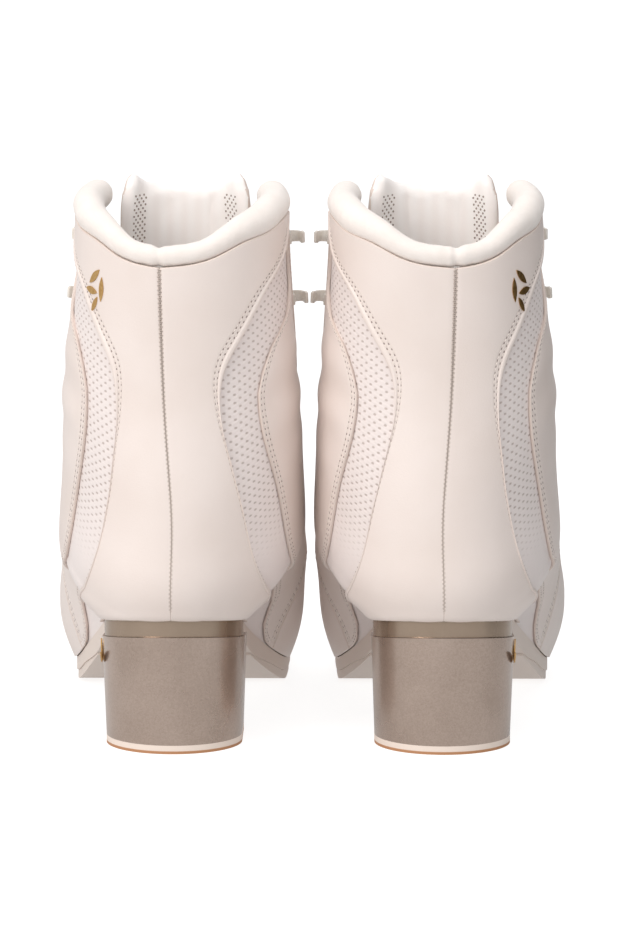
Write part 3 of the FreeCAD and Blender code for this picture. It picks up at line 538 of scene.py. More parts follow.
def makeEmbossTree():
    tree, given = newTree("embossedDimples", [("Pitch Across", "Float", 5.0), ("Pitch Along", "Float", 3.0),
                                              ("Depth", "Float", 0.00025), ("Finish", "Material", None)])
    place = addNode(tree, "ShaderNodeSeparateXYZ", {"Vector": namedVector(tree, "flatPlace")})
    waves = []
    for axis, pitch in (("X", "Pitch Across"), ("Y", "Pitch Along")):
        turns = addNode(tree, "ShaderNodeMath", {0: place.outputs[axis], 1: given[pitch]},
                        operation="DIVIDE").outputs[0]
        angle = addNode(tree, "ShaderNodeMath", {0: turns, 1: 2 * math.pi}, operation="MULTIPLY").outputs[0]
        waves.append(addNode(tree, "ShaderNodeMath", {0: angle}, operation="COSINE").outputs[0])
    lattice = addNode(tree, "ShaderNodeMath", {0: waves[0], 1: waves[1]}, operation="MULTIPLY").outputs[0]
    dent = addNode(tree, "ShaderNodeMapRange", {"Value": lattice, "From Min": 0.4, "From Max": 1.0},
                   interpolation_type="SMOOTHSTEP").outputs["Result"]
    shown = addNode(tree, "GeometryNodeInputNamedAttribute", {"Name": "embossed"},
                    data_type="FLOAT").outputs["Attribute"]
    faded = addNode(tree, "ShaderNodeMath", {0: dent, 1: shown}, operation="MULTIPLY").outputs[0]
    deep = addNode(tree, "ShaderNodeMath", {0: faded, 1: given["Depth"]}, operation="MULTIPLY").outputs[0]
    inward = addNode(tree, "ShaderNodeMath", {0: deep, 1: -1.0}, operation="MULTIPLY").outputs[0]
    normal = addNode(tree, "GeometryNodeInputNormal").outputs[0]
    offset = addNode(tree, "ShaderNodeVectorMath", {0: normal, "Scale": inward}, operation="SCALE").outputs[0]
    moved = addNode(tree, "GeometryNodeSetPosition", {"Geometry": given["Geometry"], "Offset": offset}).outputs[0]
    finishTree(tree, moved, given["Finish"])
    return tree


stitchTree, fastenerTree, embossTree = makeStitchTree(), makeFastenerTree(), makeEmbossTree()
print("node trees made")


def colour(hexValue):
    channels = [int(hexValue[i:i + 2], 16) / 255 for i in (1, 3, 5)]
    return tuple(c / 12.92 if c <= 0.04045 else ((c + 0.055) / 1.055) ** 2.4 for c in channels) + (1.0,)


def startMaterial(name, hexValue, roughness, metallic=0.0, ior=1.5):
    material = bpy.data.materials.new(name)
    material.use_nodes = True
    tree = material.node_tree
    shader = tree.nodes["Principled BSDF"]
    shader.inputs["Base Color"].default_value = colour(hexValue)
    shader.inputs["Roughness"].default_value = roughness
    shader.inputs["Metallic"].default_value = metallic
    if not metallic:
        shader.inputs["IOR"].default_value = ior
    place = addNode(tree, "ShaderNodeTexCoord").outputs["Object"]
    return material, tree, shader, place


def perMetre(millimetres):
    return 1000 / millimetres


def shadeBy(tree, shader, value, darkHex, lightHex):
    ramp = addNode(tree, "ShaderNodeMix", {"Factor": value}, data_type="RGBA")
    ramp.inputs[6].default_value = colour(darkHex)
    ramp.inputs[7].default_value = colour(lightHex)
    tree.links.new(ramp.outputs[2], shader.inputs["Base Color"])
    return ramp


def roughnessBy(tree, shader, value, low, high):
    span = addNode(tree, "ShaderNodeMapRange", {"Value": value, "To Min": low, "To Max": high}).outputs["Result"]
    tree.links.new(span, shader.inputs["Roughness"])


def bumpBy(tree, shader, height, distance, strength=1.0, under=None):
    bump = addNode(tree, "ShaderNodeBump", {"Height": height, "Distance": distance / 1000, "Strength": strength})
    if under:
        tree.links.new(under, bump.inputs["Normal"])
    tree.links.new(bump.outputs[0], shader.inputs["Normal"])
    return bump.outputs[0]


# coated full-grain leather, plated smooth: a soft satin with a fine pebble and cloudy tone, cut edges a little darker
def coatedLeather(name, light, shade, grain=0.7):
    material, tree, shader, place = startMaterial(name, light, 0.46)
    cloud = addNode(tree, "ShaderNodeTexNoise", {"Vector": place, "Scale": perMetre(38), "Detail": 3.0}).outputs[0]
    pebble = addNode(tree, "ShaderNodeTexVoronoi", {"Vector": place, "Scale": perMetre(grain)},
                     feature="SMOOTH_F1").outputs[0]
    pore = addNode(tree, "ShaderNodeTexNoise", {"Vector": place, "Scale": perMetre(0.45), "Detail": 2.0}).outputs[0]
    edge = addNode(tree, "ShaderNodeAttribute", attribute_name="edge").outputs["Fac"]
    fromEdge = addNode(tree, "ShaderNodeMapRange", {"Value": edge, "From Max": 0.9}).outputs["Result"]
    level = addNode(tree, "ShaderNodeMapRange", {"Value": cloud, "From Min": 0.3, "From Max": 0.62,
                                                 "To Min": 0.6}).outputs["Result"]
    tone = addNode(tree, "ShaderNodeMath", {0: level, 1: fromEdge}, operation="MULTIPLY").outputs[0]
    shadeBy(tree, shader, tone, shade, light)
    roughnessBy(tree, shader, pore, 0.38, 0.54)
    grainHeight = addNode(tree, "ShaderNodeMath", {0: pebble, 1: pore}, operation="ADD").outputs[0]
    creased = bumpBy(tree, shader, cloud, 1.2, 0.25)
    bumpBy(tree, shader, grainHeight, 0.10, 0.35, creased)
    shader.inputs["Coat Weight"].default_value = 0.08
    shader.inputs["Coat Roughness"].default_value = 0.35
    return material


# heat-embossed knit laminated to film: matt and pale, with staggered dimples over slanting ribs of yarn; the
# dimples are coloured darker, a painted shade in the dents; pitches in millimetres
knit = {"dimplePitch": (5.0, 3.0), "ribPitch": 1.5, "ribSlant": (0.3, 1.0, 0.0), "light": "#f0e6e3",
        "deep": "#c6b8b2"}


def embossedKnit():
    material, tree, shader, place = startMaterial("embossedKnitInsert", knit["light"], 0.62)
    flat = addNode(tree, "ShaderNodeAttribute", attribute_name="flatPlace").outputs["Vector"]
    shown = addNode(tree, "ShaderNodeAttribute", attribute_name="embossed").outputs["Fac"]
    axes = addNode(tree, "ShaderNodeSeparateXYZ", {"Vector": flat})
    waves = []
    for axis, pitch in zip("XY", knit["dimplePitch"]):
        angle = addNode(tree, "ShaderNodeMath", {0: axes.outputs[axis], 1: 2 * math.pi / pitch},
                        operation="MULTIPLY").outputs[0]
        waves.append(addNode(tree, "ShaderNodeMath", {0: angle}, operation="COSINE").outputs[0])
    lattice = addNode(tree, "ShaderNodeMath", {0: waves[0], 1: waves[1]}, operation="MULTIPLY").outputs[0]
    dimpleShadeMask = addNode(tree, "ShaderNodeMapRange", {"Value": lattice, "From Min": 0.35, "From Max": 0.95},
                     interpolation_type="SMOOTHSTEP").outputs["Result"]
    faded = addNode(tree, "ShaderNodeMath", {0: dimpleShadeMask, 1: shown}, operation="MULTIPLY").outputs[0]
    slanted = addNode(tree, "ShaderNodeVectorMath", {0: flat, 1: knit["ribSlant"]},
                      operation="DOT_PRODUCT").outputs["Value"]
    turns = addNode(tree, "ShaderNodeMath", {0: slanted, 1: 2 * math.pi / knit["ribPitch"]},
                    operation="MULTIPLY").outputs[0]
    ribs = addNode(tree, "ShaderNodeMath", {0: turns}, operation="SINE").outputs[0]
    yarn = addNode(tree, "ShaderNodeTexNoise", {"Vector": place, "Scale": perMetre(0.5), "Detail": 2.0}).outputs[0]
    # the darker colour in the dimples is painted shade in the dents
    shadeBy(tree, shader, faded, knit["light"], knit["deep"])
    roughnessBy(tree, shader, yarn, 0.5, 0.72)
    under = bumpBy(tree, shader, ribs, 0.05, 0.5)
    bumpBy(tree, shader, yarn, 0.08, 0.4, under)
    shader.inputs["Sheen Weight"].default_value = 0.15
    return material


# brushed polyester microfibre over foam: very soft, short nap, no highlight
def brushedMicrofibre():
    material, tree, shader, place = startMaterial("brushedMicrofibre", "#f4ece6", 0.9)
    nap = addNode(tree, "ShaderNodeTexNoise", {"Vector": place, "Scale": perMetre(0.7), "Detail": 4.0,
                                               "Roughness": 0.7}).outputs[0]
    brush = addNode(tree, "ShaderNodeTexNoise", {"Vector": place, "Scale": perMetre(6), "Detail": 3.0}).outputs[0]
    shadeBy(tree, shader, brush, "#efe5de", "#f6efea")
    roughnessBy(tree, shader, nap, 0.8, 1.0)
    under = bumpBy(tree, shader, brush, 0.5, 0.25)
    bumpBy(tree, shader, nap, 0.2, 0.6, under)
    shader.inputs["Sheen Weight"].default_value = 0.35
    shader.inputs["Sheen Roughness"].default_value = 0.5
    return material


# warp-knitted lining: fine upright ribs, matt and pale
def ribbedKnit(name, light, shade, ribs=1.1):
    material, tree, shader, place = startMaterial(name, light, 0.8)
    rib = addNode(tree, "ShaderNodeTexWave", {"Vector": place, "Scale": perMetre(ribs) / 20, "Distortion": 0.8,
                                              "Detail": 2.0,
                                              "Detail Scale": 3.0}, wave_type="BANDS",
                  bands_direction="X").outputs["Fac"]
    loops = addNode(tree, "ShaderNodeTexVoronoi", {"Vector": place, "Scale": perMetre(0.8)}).outputs[0]
    patch = addNode(tree, "ShaderNodeTexNoise", {"Vector": place, "Scale": perMetre(14), "Detail": 2.0}).outputs[0]
    tone = addNode(tree, "ShaderNodeMath", {0: rib, 1: patch}, operation="MULTIPLY").outputs[0]
    shadeBy(tree, shader, tone, shade, light)
    roughnessBy(tree, shader, loops, 0.7, 0.92)
    under = bumpBy(tree, shader, rib, 0.08, 0.4)
    bumpBy(tree, shader, loops, 0.08, 0.4, under)
    shader.inputs["Sheen Weight"].default_value = 0.2
    return material


# bonded polyester sewing thread: twisted, slightly shiny
def sewingThread(name, light, shade):
    material, tree, shader, place = startMaterial(name, light, 0.5)
    twist = addNode(tree, "ShaderNodeTexNoise", {"Vector": place, "Scale": perMetre(0.3), "Detail": 1.0}).outputs[0]
    shadeBy(tree, shader, twist, shade, light)
    bumpBy(tree, shader, twist, 0.05, 0.5)
    return material


# needle holes: the shadowed inside of a pricked hole
def needleHole():
    material, tree, shader, place = startMaterial("needleHole", "#8f7f79", 0.9)
    spot = addNode(tree, "ShaderNodeTexNoise", {"Vector": place, "Scale": perMetre(1.0)}).outputs[0]
    shadeBy(tree, shader, spot, "#7d6c66", "#b3a49d")
    return material


# sprayed metallic lacquer on a moulded heel: satin, fine flake, a little cloudy
def metallicLacquer(name, light, shade, roughness):
    material, tree, shader, place = startMaterial(name, light, roughness, metallic=0.72)
    flake = addNode(tree, "ShaderNodeTexVoronoi", {"Vector": place, "Scale": perMetre(0.5)}).outputs["Color"]
    grey = addNode(tree, "ShaderNodeRGBToBW", {"Color": flake}).outputs[0]
    cloud = addNode(tree, "ShaderNodeTexNoise", {"Vector": place, "Scale": perMetre(30), "Detail": 3.0}).outputs[0]
    tone = addNode(tree, "ShaderNodeMath", {0: grey, 1: 0.35, 2: cloud}, operation="MULTIPLY_ADD").outputs[0]
    level = addNode(tree, "ShaderNodeMapRange", {"Value": tone, "From Min": 0.4, "From Max": 0.9}).outputs["Result"]
    shadeBy(tree, shader, level, shade, light)
    roughnessBy(tree, shader, cloud, roughness - 0.05, roughness + 0.08)
    bumpBy(tree, shader, grey, 0.02, 0.25)
    shader.inputs["Coat Weight"].default_value = 0.35
    shader.inputs["Coat Roughness"].default_value = 0.18
    return material


# the sole plate: the same lacquer over the heel seat, and leather of the upper's tone from the heel's breast forward
def coveredPlate(lacquerLight, lacquerShade, coverHex, roughness):
    material, tree, shader, place = startMaterial("lacqueredAndCoveredPlate", lacquerLight, roughness, metallic=0.72)
    ahead = addNode(tree, "ShaderNodeSeparateXYZ", {"Vector": place}).outputs["Y"]
    breast = bootY + 0.058
    covered = addNode(tree, "ShaderNodeMapRange", {"Value": ahead, "From Min": breast,
                                                   "From Max": breast + 0.001}).outputs["Result"]
    cloud = addNode(tree, "ShaderNodeTexNoise", {"Vector": place, "Scale": perMetre(20), "Detail": 3.0}).outputs[0]
    lacquer = shadeBy(tree, shader, cloud, lacquerShade, lacquerLight)
    cover = addNode(tree, "ShaderNodeMix", {"Factor": covered, 6: lacquer.outputs[2]}, data_type="RGBA")
    cover.inputs[7].default_value = colour(coverHex)
    tree.links.new(cover.outputs[2], shader.inputs["Base Color"])
    metal = addNode(tree, "ShaderNodeMapRange", {"Value": covered, "To Min": 0.72, "To Max": 0.0}).outputs["Result"]
    tree.links.new(metal, shader.inputs["Metallic"])
    roughnessBy(tree, shader, covered, roughness, 0.5)
    bumpBy(tree, shader, cloud, 0.1, 0.2)
    return material


# pale hard rubber top-lift on a thin copper-brown wearing layer, told apart by height
def topLiftRubber():
    material, tree, shader, place = startMaterial("topLiftRubber", "#f3dfd0", 0.55)
    height = addNode(tree, "ShaderNodeSeparateXYZ", {"Vector": place}).outputs["Z"]
    above = addNode(tree, "ShaderNodeMapRange", {"Value": height, "From Min": 0.0010,
                                                 "From Max": 0.0013}).outputs["Result"]
    speck = addNode(tree, "ShaderNodeTexNoise", {"Vector": place, "Scale": perMetre(0.9), "Detail": 2.0}).outputs[0]
    shadeBy(tree, shader, above, "#c08a62", "#f6e6da")
    roughnessBy(tree, shader, speck, 0.45, 0.65)
    bumpBy(tree, shader, speck, 0.06, 0.4)
    return material


# vegetable-tanned sole leather: tan where it treads, painted pale round its edge and in the waist
def soleLeather():
    material, tree, shader, place = startMaterial("burnishedSoleLeather", "#c79c78", 0.45)
    fibre = addNode(tree, "ShaderNodeTexNoise", {"Vector": place, "Scale": perMetre(1.5), "Detail": 5.0,
                                                 "Distortion": 0.8}).outputs[0]
    cloud = addNode(tree, "ShaderNodeTexNoise", {"Vector": place, "Scale": perMetre(25), "Detail": 2.0}).outputs[0]
    tone = addNode(tree, "ShaderNodeMath", {0: fibre, 1: cloud}, operation="MULTIPLY").outputs[0]
    level = addNode(tree, "ShaderNodeMapRange", {"Value": tone, "From Min": 0.12, "From Max": 0.4}).outputs["Result"]
    tread = shadeBy(tree, shader, level, "#a8794f", "#d9b291")
    normal = addNode(tree, "ShaderNodeNewGeometry").outputs["Normal"]
    facing = addNode(tree, "ShaderNodeSeparateXYZ", {"Vector": normal}).outputs["Z"]
    onEdge = addNode(tree, "ShaderNodeMapRange", {"Value": facing, "From Min": -0.6,
                                                  "From Max": -0.35}).outputs["Result"]
    height = addNode(tree, "ShaderNodeSeparateXYZ", {"Vector": place}).outputs["Z"]
    inWaist = addNode(tree, "ShaderNodeMapRange", {"Value": height, "From Min": 0.0012,
                                                   "From Max": 0.0018}).outputs["Result"]
    painted = addNode(tree, "ShaderNodeMath", {0: onEdge, 1: inWaist}, operation="MAXIMUM").outputs[0]
    inked = addNode(tree, "ShaderNodeMix", {"Factor": painted, 6: tread.outputs[2]}, data_type="RGBA")
    inked.inputs[7].default_value = colour("#e6d8ce")
    tree.links.new(inked.outputs[2], shader.inputs["Base Color"])
    roughnessBy(tree, shader, cloud, 0.35, 0.6)
    bumpBy(tree, shader, fibre, 0.08, 0.5)
    return material


# pressed board, thermoplastic sheet and foam: matt, with fibre, speckle or open cells of the given size
def mattStock(name, light, shade, cell, roughness=0.75):
    material, tree, shader, place = startMaterial(name, light, roughness)
    cells = addNode(tree, "ShaderNodeTexVoronoi", {"Vector": place, "Scale": perMetre(cell)}).outputs[0]
    drift = addNode(tree, "ShaderNodeTexNoise", {"Vector": place, "Scale": perMetre(cell * 8),
                                                 "Detail": 3.0}).outputs[0]
    tone = addNode(tree, "ShaderNodeMath", {0: cells, 1: drift}, operation="ADD").outputs[0]
    shadeBy(tree, shader, tone, shade, light)
    roughnessBy(tree, shader, drift, roughness - 0.1, roughness + 0.1)
    bumpBy(tree, shader, cells, cell * 0.15, 0.5)
    return material


# stove enamel on steel: glossy off-white, thin at the edges
def stoveEnamel():
    material, tree, shader, place = startMaterial("stoveEnamel", "#f3eee6", 0.24)
    ripple = addNode(tree, "ShaderNodeTexNoise", {"Vector": place, "Scale": perMetre(2.5), "Detail": 2.0}).outputs[0]
    shadeBy(tree, shader, ripple, "#e2dacf", "#f8f4ee")
    roughnessBy(tree, shader, ripple, 0.18, 0.34)
    bumpBy(tree, shader, ripple, 0.05, 0.3)
    shader.inputs["Coat Weight"].default_value = 0.4
    shader.inputs["Coat Roughness"].default_value = 0.08
    return material


# hot-stamped gilt foil: soft gold with a slightly broken lay
def giltFoil():
    material, tree, shader, place = startMaterial("giltFoil", "#d9a860", 0.3, metallic=1.0)
    lay = addNode(tree, "ShaderNodeTexNoise", {"Vector": place, "Scale": perMetre(1.1), "Detail": 3.0}).outputs[0]
    shadeBy(tree, shader, lay, "#b98444", "#ecc98c")
    roughnessBy(tree, shader, lay, 0.22, 0.45)
    bumpBy(tree, shader, lay, 0.03, 0.4)
    return material


whiteLeather = coatedLeather("coatedWhiteLeather", "#efe3dd", "#e2d3ca")
knitInsert, plush = embossedKnit(), brushedMicrofibre()
tongueKnit = ribbedKnit("ribbedTongueLining", "#fffcfa", "#faf4f1", 0.9)
shaftKnit = ribbedKnit("ribbedShaftLining", "#f4ece4", "#e0d5cb", 1.4)
paleThread = sewingThread("paleThread", "#f3ebe4", "#ddd0c8")
seamThread = sewingThread("seamThread", "#d8ccc3", "#b0a298")
hole = needleHole()
heelLacquer = metallicLacquer("champagneLacquer", "#bfaca0", "#aa978a", 0.27)
plateLacquer = coveredPlate("#b5a291", "#9a8775", "#e6d8ce", 0.26)
enamel, gilt = stoveEnamel(), giltFoil()
cadFinishes = {"heel": heelLacquer, "heel_lift": topLiftRubber(), "sole_plate": plateLacquer,
               "outsole": soleLeather(),
               "lasting_board": mattStock("lastingBoard", "#cdb79c", "#b39c80", 0.8),
               "toe_puff": mattStock("thermoplasticSheet", "#e4e0d8", "#cfc9bf", 0.6, 0.6), "cuff_ornament": gilt,
               "heel_ornament": gilt}
cadFinishes["heel_counter"] = cadFinishes["toe_puff"]
foam = mattStock("cutFoam", "#f3ecd8", "#dccfae", 0.6, 0.9)
for part, finish in cadFinishes.items():
    for side in ("right", "left"):
        for slotIndex in range(len(cadNodes[side + "_" + part].material_slots)):
            cadNodes[side + "_" + part].material_slots[slotIndex].material = finish
print("materials made")


def paint(obj, *materials):
    obj.data.materials.clear()
    for material in materials:
        obj.data.materials.append(material)


def pairUp(obj, body, replaced):
    obj.name = "right_" + obj.name
    left = obj.copy()
    left.data = obj.data.copy()
    left.name = obj.name.replace("right_", "left_")
    bpy.context.scene.collection.objects.link(left)
    left.data.transform(Matrix.Scale(-1, 4, (1, 0, 0)))
    left.data.flip_normals()
    for side, piece in (("right", obj), ("left", left)):
        piece.data.name = piece.name
        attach(piece, side + "_" + body)
        if replaced:
            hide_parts(*[side + "_" + node for node in replaced])
    return obj


def band(distance, centre, half):
    return np.exp(-((distance - centre) / half) ** 2)


# leather panels: a turned-up rim along the quarter's front edge, rows pulled in where they are stitched
panels = {"rimWidth": 2.9, "rimHeight": 0.45, "rowInset": [3.7, 5.8], "grooveDepth": 0.2, "thickness": 1.3,
          "frontRows": [1.2, 3.1], "seamRows": [1.5, 3.6],
          "quarterSteps": [0.0, 0.1, 0.3, 0.7, 1.4, 2.0, 2.5, 2.9, 3.3, 3.7, 4.1, 4.7, 5.3, 5.8, 6.3, 7.0],
          "eyestaySteps": [0.0, 0.1, 0.3, 0.7, 1.2, 1.6, 2.1, 2.6, 3.1, 3.6, 4.2]}


def quarterRelief(gaps, s):
    rim = panels["rimHeight"] * smooth(gaps[1] / 0.8) * (1 - smooth((gaps[1] - panels["rimWidth"] + 0.6) / 1.0))
    grooves = sum(band(gaps[1], inset, 0.6) for inset in panels["rowInset"]) * panels["grooveDepth"]
    hem = 0.35 * band(gaps[3], 2.0, 2.4)
    pinch = -0.25 * band(gaps[0], 0.0, 1.1)
    return rim - grooves + hem + pinch


def eyestayRelief(gaps, s):
    groove = sum(band(gaps[0], inset, 0.5) for inset in panels["frontRows"]) * 0.18
    seam = sum(band(gaps[3], inset, 0.5) for inset in panels["seamRows"]) * 0.18
    crease = 0.5 * np.sin(s * 7.5) * band(s, 4.1, 0.9) * smooth(gaps[1] / 6) * smooth(gaps[0] / 12)
    return crease - groove - seam


quarterFaces, eyestayFaces, facingFaces, meshFaces = {}, {}, {}, {}
sides = {"lateral": 1, "medial": -1}
for sideName, sign in sides.items():
    quarterFaces[sideName] = surfaceOf(quarterPattern(), sign, 0.0, quarterRelief)
    eyestayFaces[sideName] = surfaceOf(eyestayPattern(), sign, 0.0, eyestayRelief)
    facingFaces[sideName] = surfaceOf(facingPattern, sign, -1.3, None, 0.4)
    meshFaces[sideName] = surfaceOf(meshPattern(), sign, 1.5, None, 0.3)


# eyelets and lace hooks, in millimetres, and the bores punched for the eyelets
lacing = {"hookStations": [2.05, 3.02], "eyeletStations": [4.25, 4.95, 5.65, 6.35, 7.05, 7.75],
          "hookSetback": {1: 3.5, -1: 8.0},
          "eyeletSetback": {1: 7.0, -1: 7.0}, "bore": 2.1, "barrel": 2.6, "flange": 4.0, "hookHeight": 6.4,
          "hookWidth": 5.4, "hookPlate": 1.1}


def facingFrames(stations, setback, lift):
    places, normals, headings = [], [], []
    for sign in (1, -1):
        for s in stations:
            a = sign * (facingLine(s) - setback[sign])
            origin = layer(s, a, -1.3 - lift)
            out = outward(np.float64(s), np.float64(a))
            ahead = layer(s, a + sign, 0) - layer(s, a, 0)
            ahead -= out * (ahead @ out)
            places.append(origin)
            normals.append(out)
            headings.append(ahead / np.linalg.norm(ahead))
    return np.array(places), np.array(normals), np.array(headings)


def pointCloud(name, frames):
    cloud = meshFrom(name, toRow(frames[0]), [])
    storeValues(cloud, "outward", frames[1], "FLOAT_VECTOR")
    storeValues(cloud, "heading", frames[2], "FLOAT_VECTOR")
    return cloud


def turnedPart(name, profile, count=28):
    turns = np.arange(count) * 2 * math.pi / count
    points = [(r * math.cos(t), r * math.sin(t), z) for t in turns for r, z in profile]
    size = len(profile)
    faces = [(i * size + j, i * size + (j + 1) % size, (i + 1) % count * size + (j + 1) % size,
              (i + 1) % count * size + j)
             for i in range(count) for j in range(size)]
    part = meshFrom(name, np.array(points) / 1000, faces)
    tidyNormals(part)
    return part


def setParts(name, part, frames, finish):
    cloud = pointCloud(name, frames)
    runTree(cloud, fastenerTree, {"Part": part, "Finish": finish})
    bpy.data.objects.remove(part)
    return cloud


bore, barrel, flange = lacing["bore"], lacing["barrel"], lacing["flange"]
eyeletFrames = facingFrames(lacing["eyeletStations"], lacing["eyeletSetback"], 0.0)
eyeletPart = turnedPart("eyelet", [(bore, -3.7), (barrel, -3.7), (barrel, 0.12), (flange, 0.15), (flange, 0.45),
                                   (flange - 0.25, 0.72),
                                   (flange - 0.8, 0.95), (barrel + 0.4, 1.0), (bore + 0.1, 0.75), (bore, 0.3)])
eyelets = setParts("eyelets_enamel", eyeletPart, eyeletFrames, enamel)


def makeHookPart():
    radius, plate, half = lacing["hookHeight"] / 2, lacing["hookPlate"], lacing["hookWidth"] / 2
    path = [(-3.4, plate / 2), (-1.7, plate / 2)]
    for turn in np.linspace(-90, 90, 13):
        reach = radius - plate / 2
        path.append((reach * math.cos(math.radians(turn)), radius + reach * math.sin(math.radians(turn))))
    path += [(-1.5, 2 * radius - plate / 2 + 0.25), (-3.0, 2 * radius - plate / 2 + 0.5)]
    path = np.array(path)
    heading = np.gradient(path, axis=0)
    heading /= np.linalg.norm(heading, axis=1, keepdims=True)
    across = np.stack([-heading[:, 1], heading[:, 0]], 1) * plate / 2
    width = half * np.concatenate([[0.82, 1.0], np.linspace(0.95, 0.8, 13), [0.95, 0.8]])
    points, faces, count = [], [], len(path)
    for k in range(count):
        for edge, lift in ((1, 1), (-1, 1), (-1, -1), (1, -1)):
            x, z = path[k] + across[k] * lift
            points.append((x, edge * width[k], z + 0.15))
    for k in range(count - 1):
        faces += [(4 * k + n, 4 * k + (n + 1) % 4, 4 * k + 4 + (n + 1) % 4, 4 * k + 4 + n) for n in range(4)]
    faces += [(3, 2, 1, 0), tuple(4 * count - 4 + n for n in range(4))]
    hook = meshFrom("hook", np.array(points) / 1000, faces)
    tidyNormals(hook)
    bevel = hook.modifiers.new("edges", "BEVEL")
    bevel.width, bevel.segments, bevel.limit_method, bevel.angle_limit = 0.0003, 2, "ANGLE", 0.9
    bakeModifiers(hook)
    rivet = turnedPart("rivet", [(0.02, 0.0), (1.55, 0.0), (1.5, 0.35), (1.1, 0.62), (0.5, 0.72), (0.02, 0.74)], 16)
    rivet.data.transform(Matrix.Translation((-0.0017, 0, (plate + 0.1) / 1000)))
    work = bmesh.new()
    work.from_mesh(hook.data)
    work.from_mesh(rivet.data)
    work.to_mesh(hook.data)
    work.free()
    bpy.data.objects.remove(rivet)
    return hook


hooks = setParts("hooks_enamel", makeHookPart(), facingFrames(lacing["hookStations"], lacing["hookSetback"], 0.0),
                 enamel)
boreCutter = turnedPart("boreCutter", [(0.01, -7.0), (barrel + 0.12, -7.0), (barrel + 0.12, 3.0), (0.01, 3.0)], 24)
cutter = setParts("boreCutters", boreCutter, eyeletFrames, enamel)
print("eyelets and hooks made")


def punch(obj):
    cut = obj.modifiers.new("punch", "BOOLEAN")
    cut.object, cut.operation, cut.solver = cutter, "DIFFERENCE", "EXACT"
    bakeModifiers(obj)
    obj.data.shade_smooth()


for sideName in sides:
    quarter = sheetPiece("quarter_" + sideName + "_leather", quarterFaces[sideName], 22, 30, panels["thickness"],
                         panels["quarterSteps"])
    paint(quarter, whiteLeather)
    pairUp(quarter, "boot", ["quarter_" + sideName])
    insert = sheetPiece("side_" + sideName + "_knit", meshFaces[sideName], 26, 74, 1.0)
    runTree(insert, embossTree, {"Pitch Across": knit["dimplePitch"][0], "Pitch Along": knit["dimplePitch"][1],
                                 "Finish": knitInsert})
    pairUp(insert, "boot", ["side_mesh_" + sideName])
    eyestay = sheetPiece("eyestay_" + sideName + "_leather", eyestayFaces[sideName], 20, 32, panels["thickness"],
                         panels["eyestaySteps"])
    punch(eyestay)
    paint(eyestay, whiteLeather)
    pairUp(eyestay, "boot", ["eyestay_" + sideName])
    facing = sheetPiece("facing_" + sideName + "_leather", facingFaces[sideName], 5, 24, 1.2)
    punch(facing)
    paint(facing, whiteLeather)
    pairUp(facing, "boot", ["facing_" + sideName])
bpy.data.objects.remove(cutter)
pairUp(eyelets, "boot", ["eyelets"])
pairUp(hooks, "boot", ["hooks"])
print("panels made")


# the vamp: a sheet over the toes, drawn together at the tip
toe = {"rows": 96, "columns": 96, "domeRows": 8, "forward": 2.2, "rise": 1.6}


def makeToeSheet(name, pattern, top, thickness, rows, columns):
    face = surfaceOf(pattern, 1, top)
    u = np.concatenate([[0, 0.0012, 0.004], np.linspace(0.009, 1, rows - toe["domeRows"] - 2)])[:, None]
    v = np.concatenate([[0, 0.0008], np.linspace(0.003, 0.997, columns - 3), [0.9992, 1]])[None, :]
    u, v = np.broadcast_arrays(u, v)
    s, a = pattern(u, v)
    fromSeam = u * face["lengthU"](v)
    rounded = 0.5 - np.sqrt(np.maximum(0.25 - np.maximum(0.5 - fromSeam, 0) ** 2, 0))
    grooves = sum(band(fromSeam, inset, 0.5) for inset in (2.2, 4.3)) * 0.2
    sheets = []
    for depth in (top + rounded + grooves, np.full_like(s, top + thickness)):
        sheet = layer(s, a, depth)
        low = (sheet[-1, 0] + sheet[-1, -1]) / 2
        tip = np.array([0, min(toe["forward"], max(soleLength - depth[-1, 0] - low[1], 0.4)), toe["rise"]])
        for turn in np.linspace(0, math.pi / 2, toe["domeRows"] + 1)[1:]:
            domeRow = low + (sheet[rows - toe["domeRows"]] - low) * math.cos(turn) + tip * math.sin(turn)
            sheet = np.concatenate([sheet, domeRow[None]])
        sheets.append(sheet)
    outer, inner = sheets
    edge = np.concatenate([fromSeam, np.full((toe["domeRows"], columns + 1), 20.0)])
    return closedSheet(name, outer, inner[::inwardStride, ::inwardStride], {"edge": (edge, 0.0)})


vamp = makeToeSheet("vamp_leather", vampPattern, 0.0, panels["thickness"], toe["rows"], toe["columns"])
paint(vamp, whiteLeather)
pairUp(vamp, "boot", ["vamp"])


# lining, ankle foam and footbed
for sideName, sign in sides.items():
    lining = sheetPiece("lining_" + sideName + "_knit", surfaceOf(liningPattern, sign, 6.7, None, 0.3), 16, 22, 1.0)
    paint(lining, shaftKnit)
    pairUp(lining, "boot", ["lining"])
    ankle = sheetPiece("ankle_pad_" + sideName, surfaceOf(padPattern, sign, 3.5, None, 1.2), 12, 12, 3.0)
    paint(ankle, foam)
    pairUp(ankle, "boot", ["ankle_pad_" + sideName])
vampLining = sheetPiece("lining_toe_knit", surfaceOf(vampLiningPattern, 1, 3.3, None, 0.3), 16, 20, 0.9)
paint(vampLining, shaftKnit)
pairUp(vampLining, "boot", [])

insole = {"inset": 8.6, "seat": 3.0, "thickness": 3.0, "cup": 0.9, "rows": 90, "columns": 24}


def slabFaces(rows, columns):
    count = rows * columns
    faces = []
    for i in range(rows - 1):
        for j in range(columns - 1):
            corners = (i * columns + j, (i + 1) * columns + j, (i + 1) * columns + j + 1, i * columns + j + 1)
            faces += [corners, tuple(count + k for k in reversed(corners))]
    for i in range(rows - 1):
        for j in (0, columns - 1):
            faces.append((i * columns + j, (i + 1) * columns + j, count + (i + 1) * columns + j,
                          count + i * columns + j))
    for i in (0, rows - 1):
        for j in range(columns - 1):
            faces.append((i * columns + j, i * columns + j + 1, count + i * columns + j + 1, count + i * columns + j))
    return faces


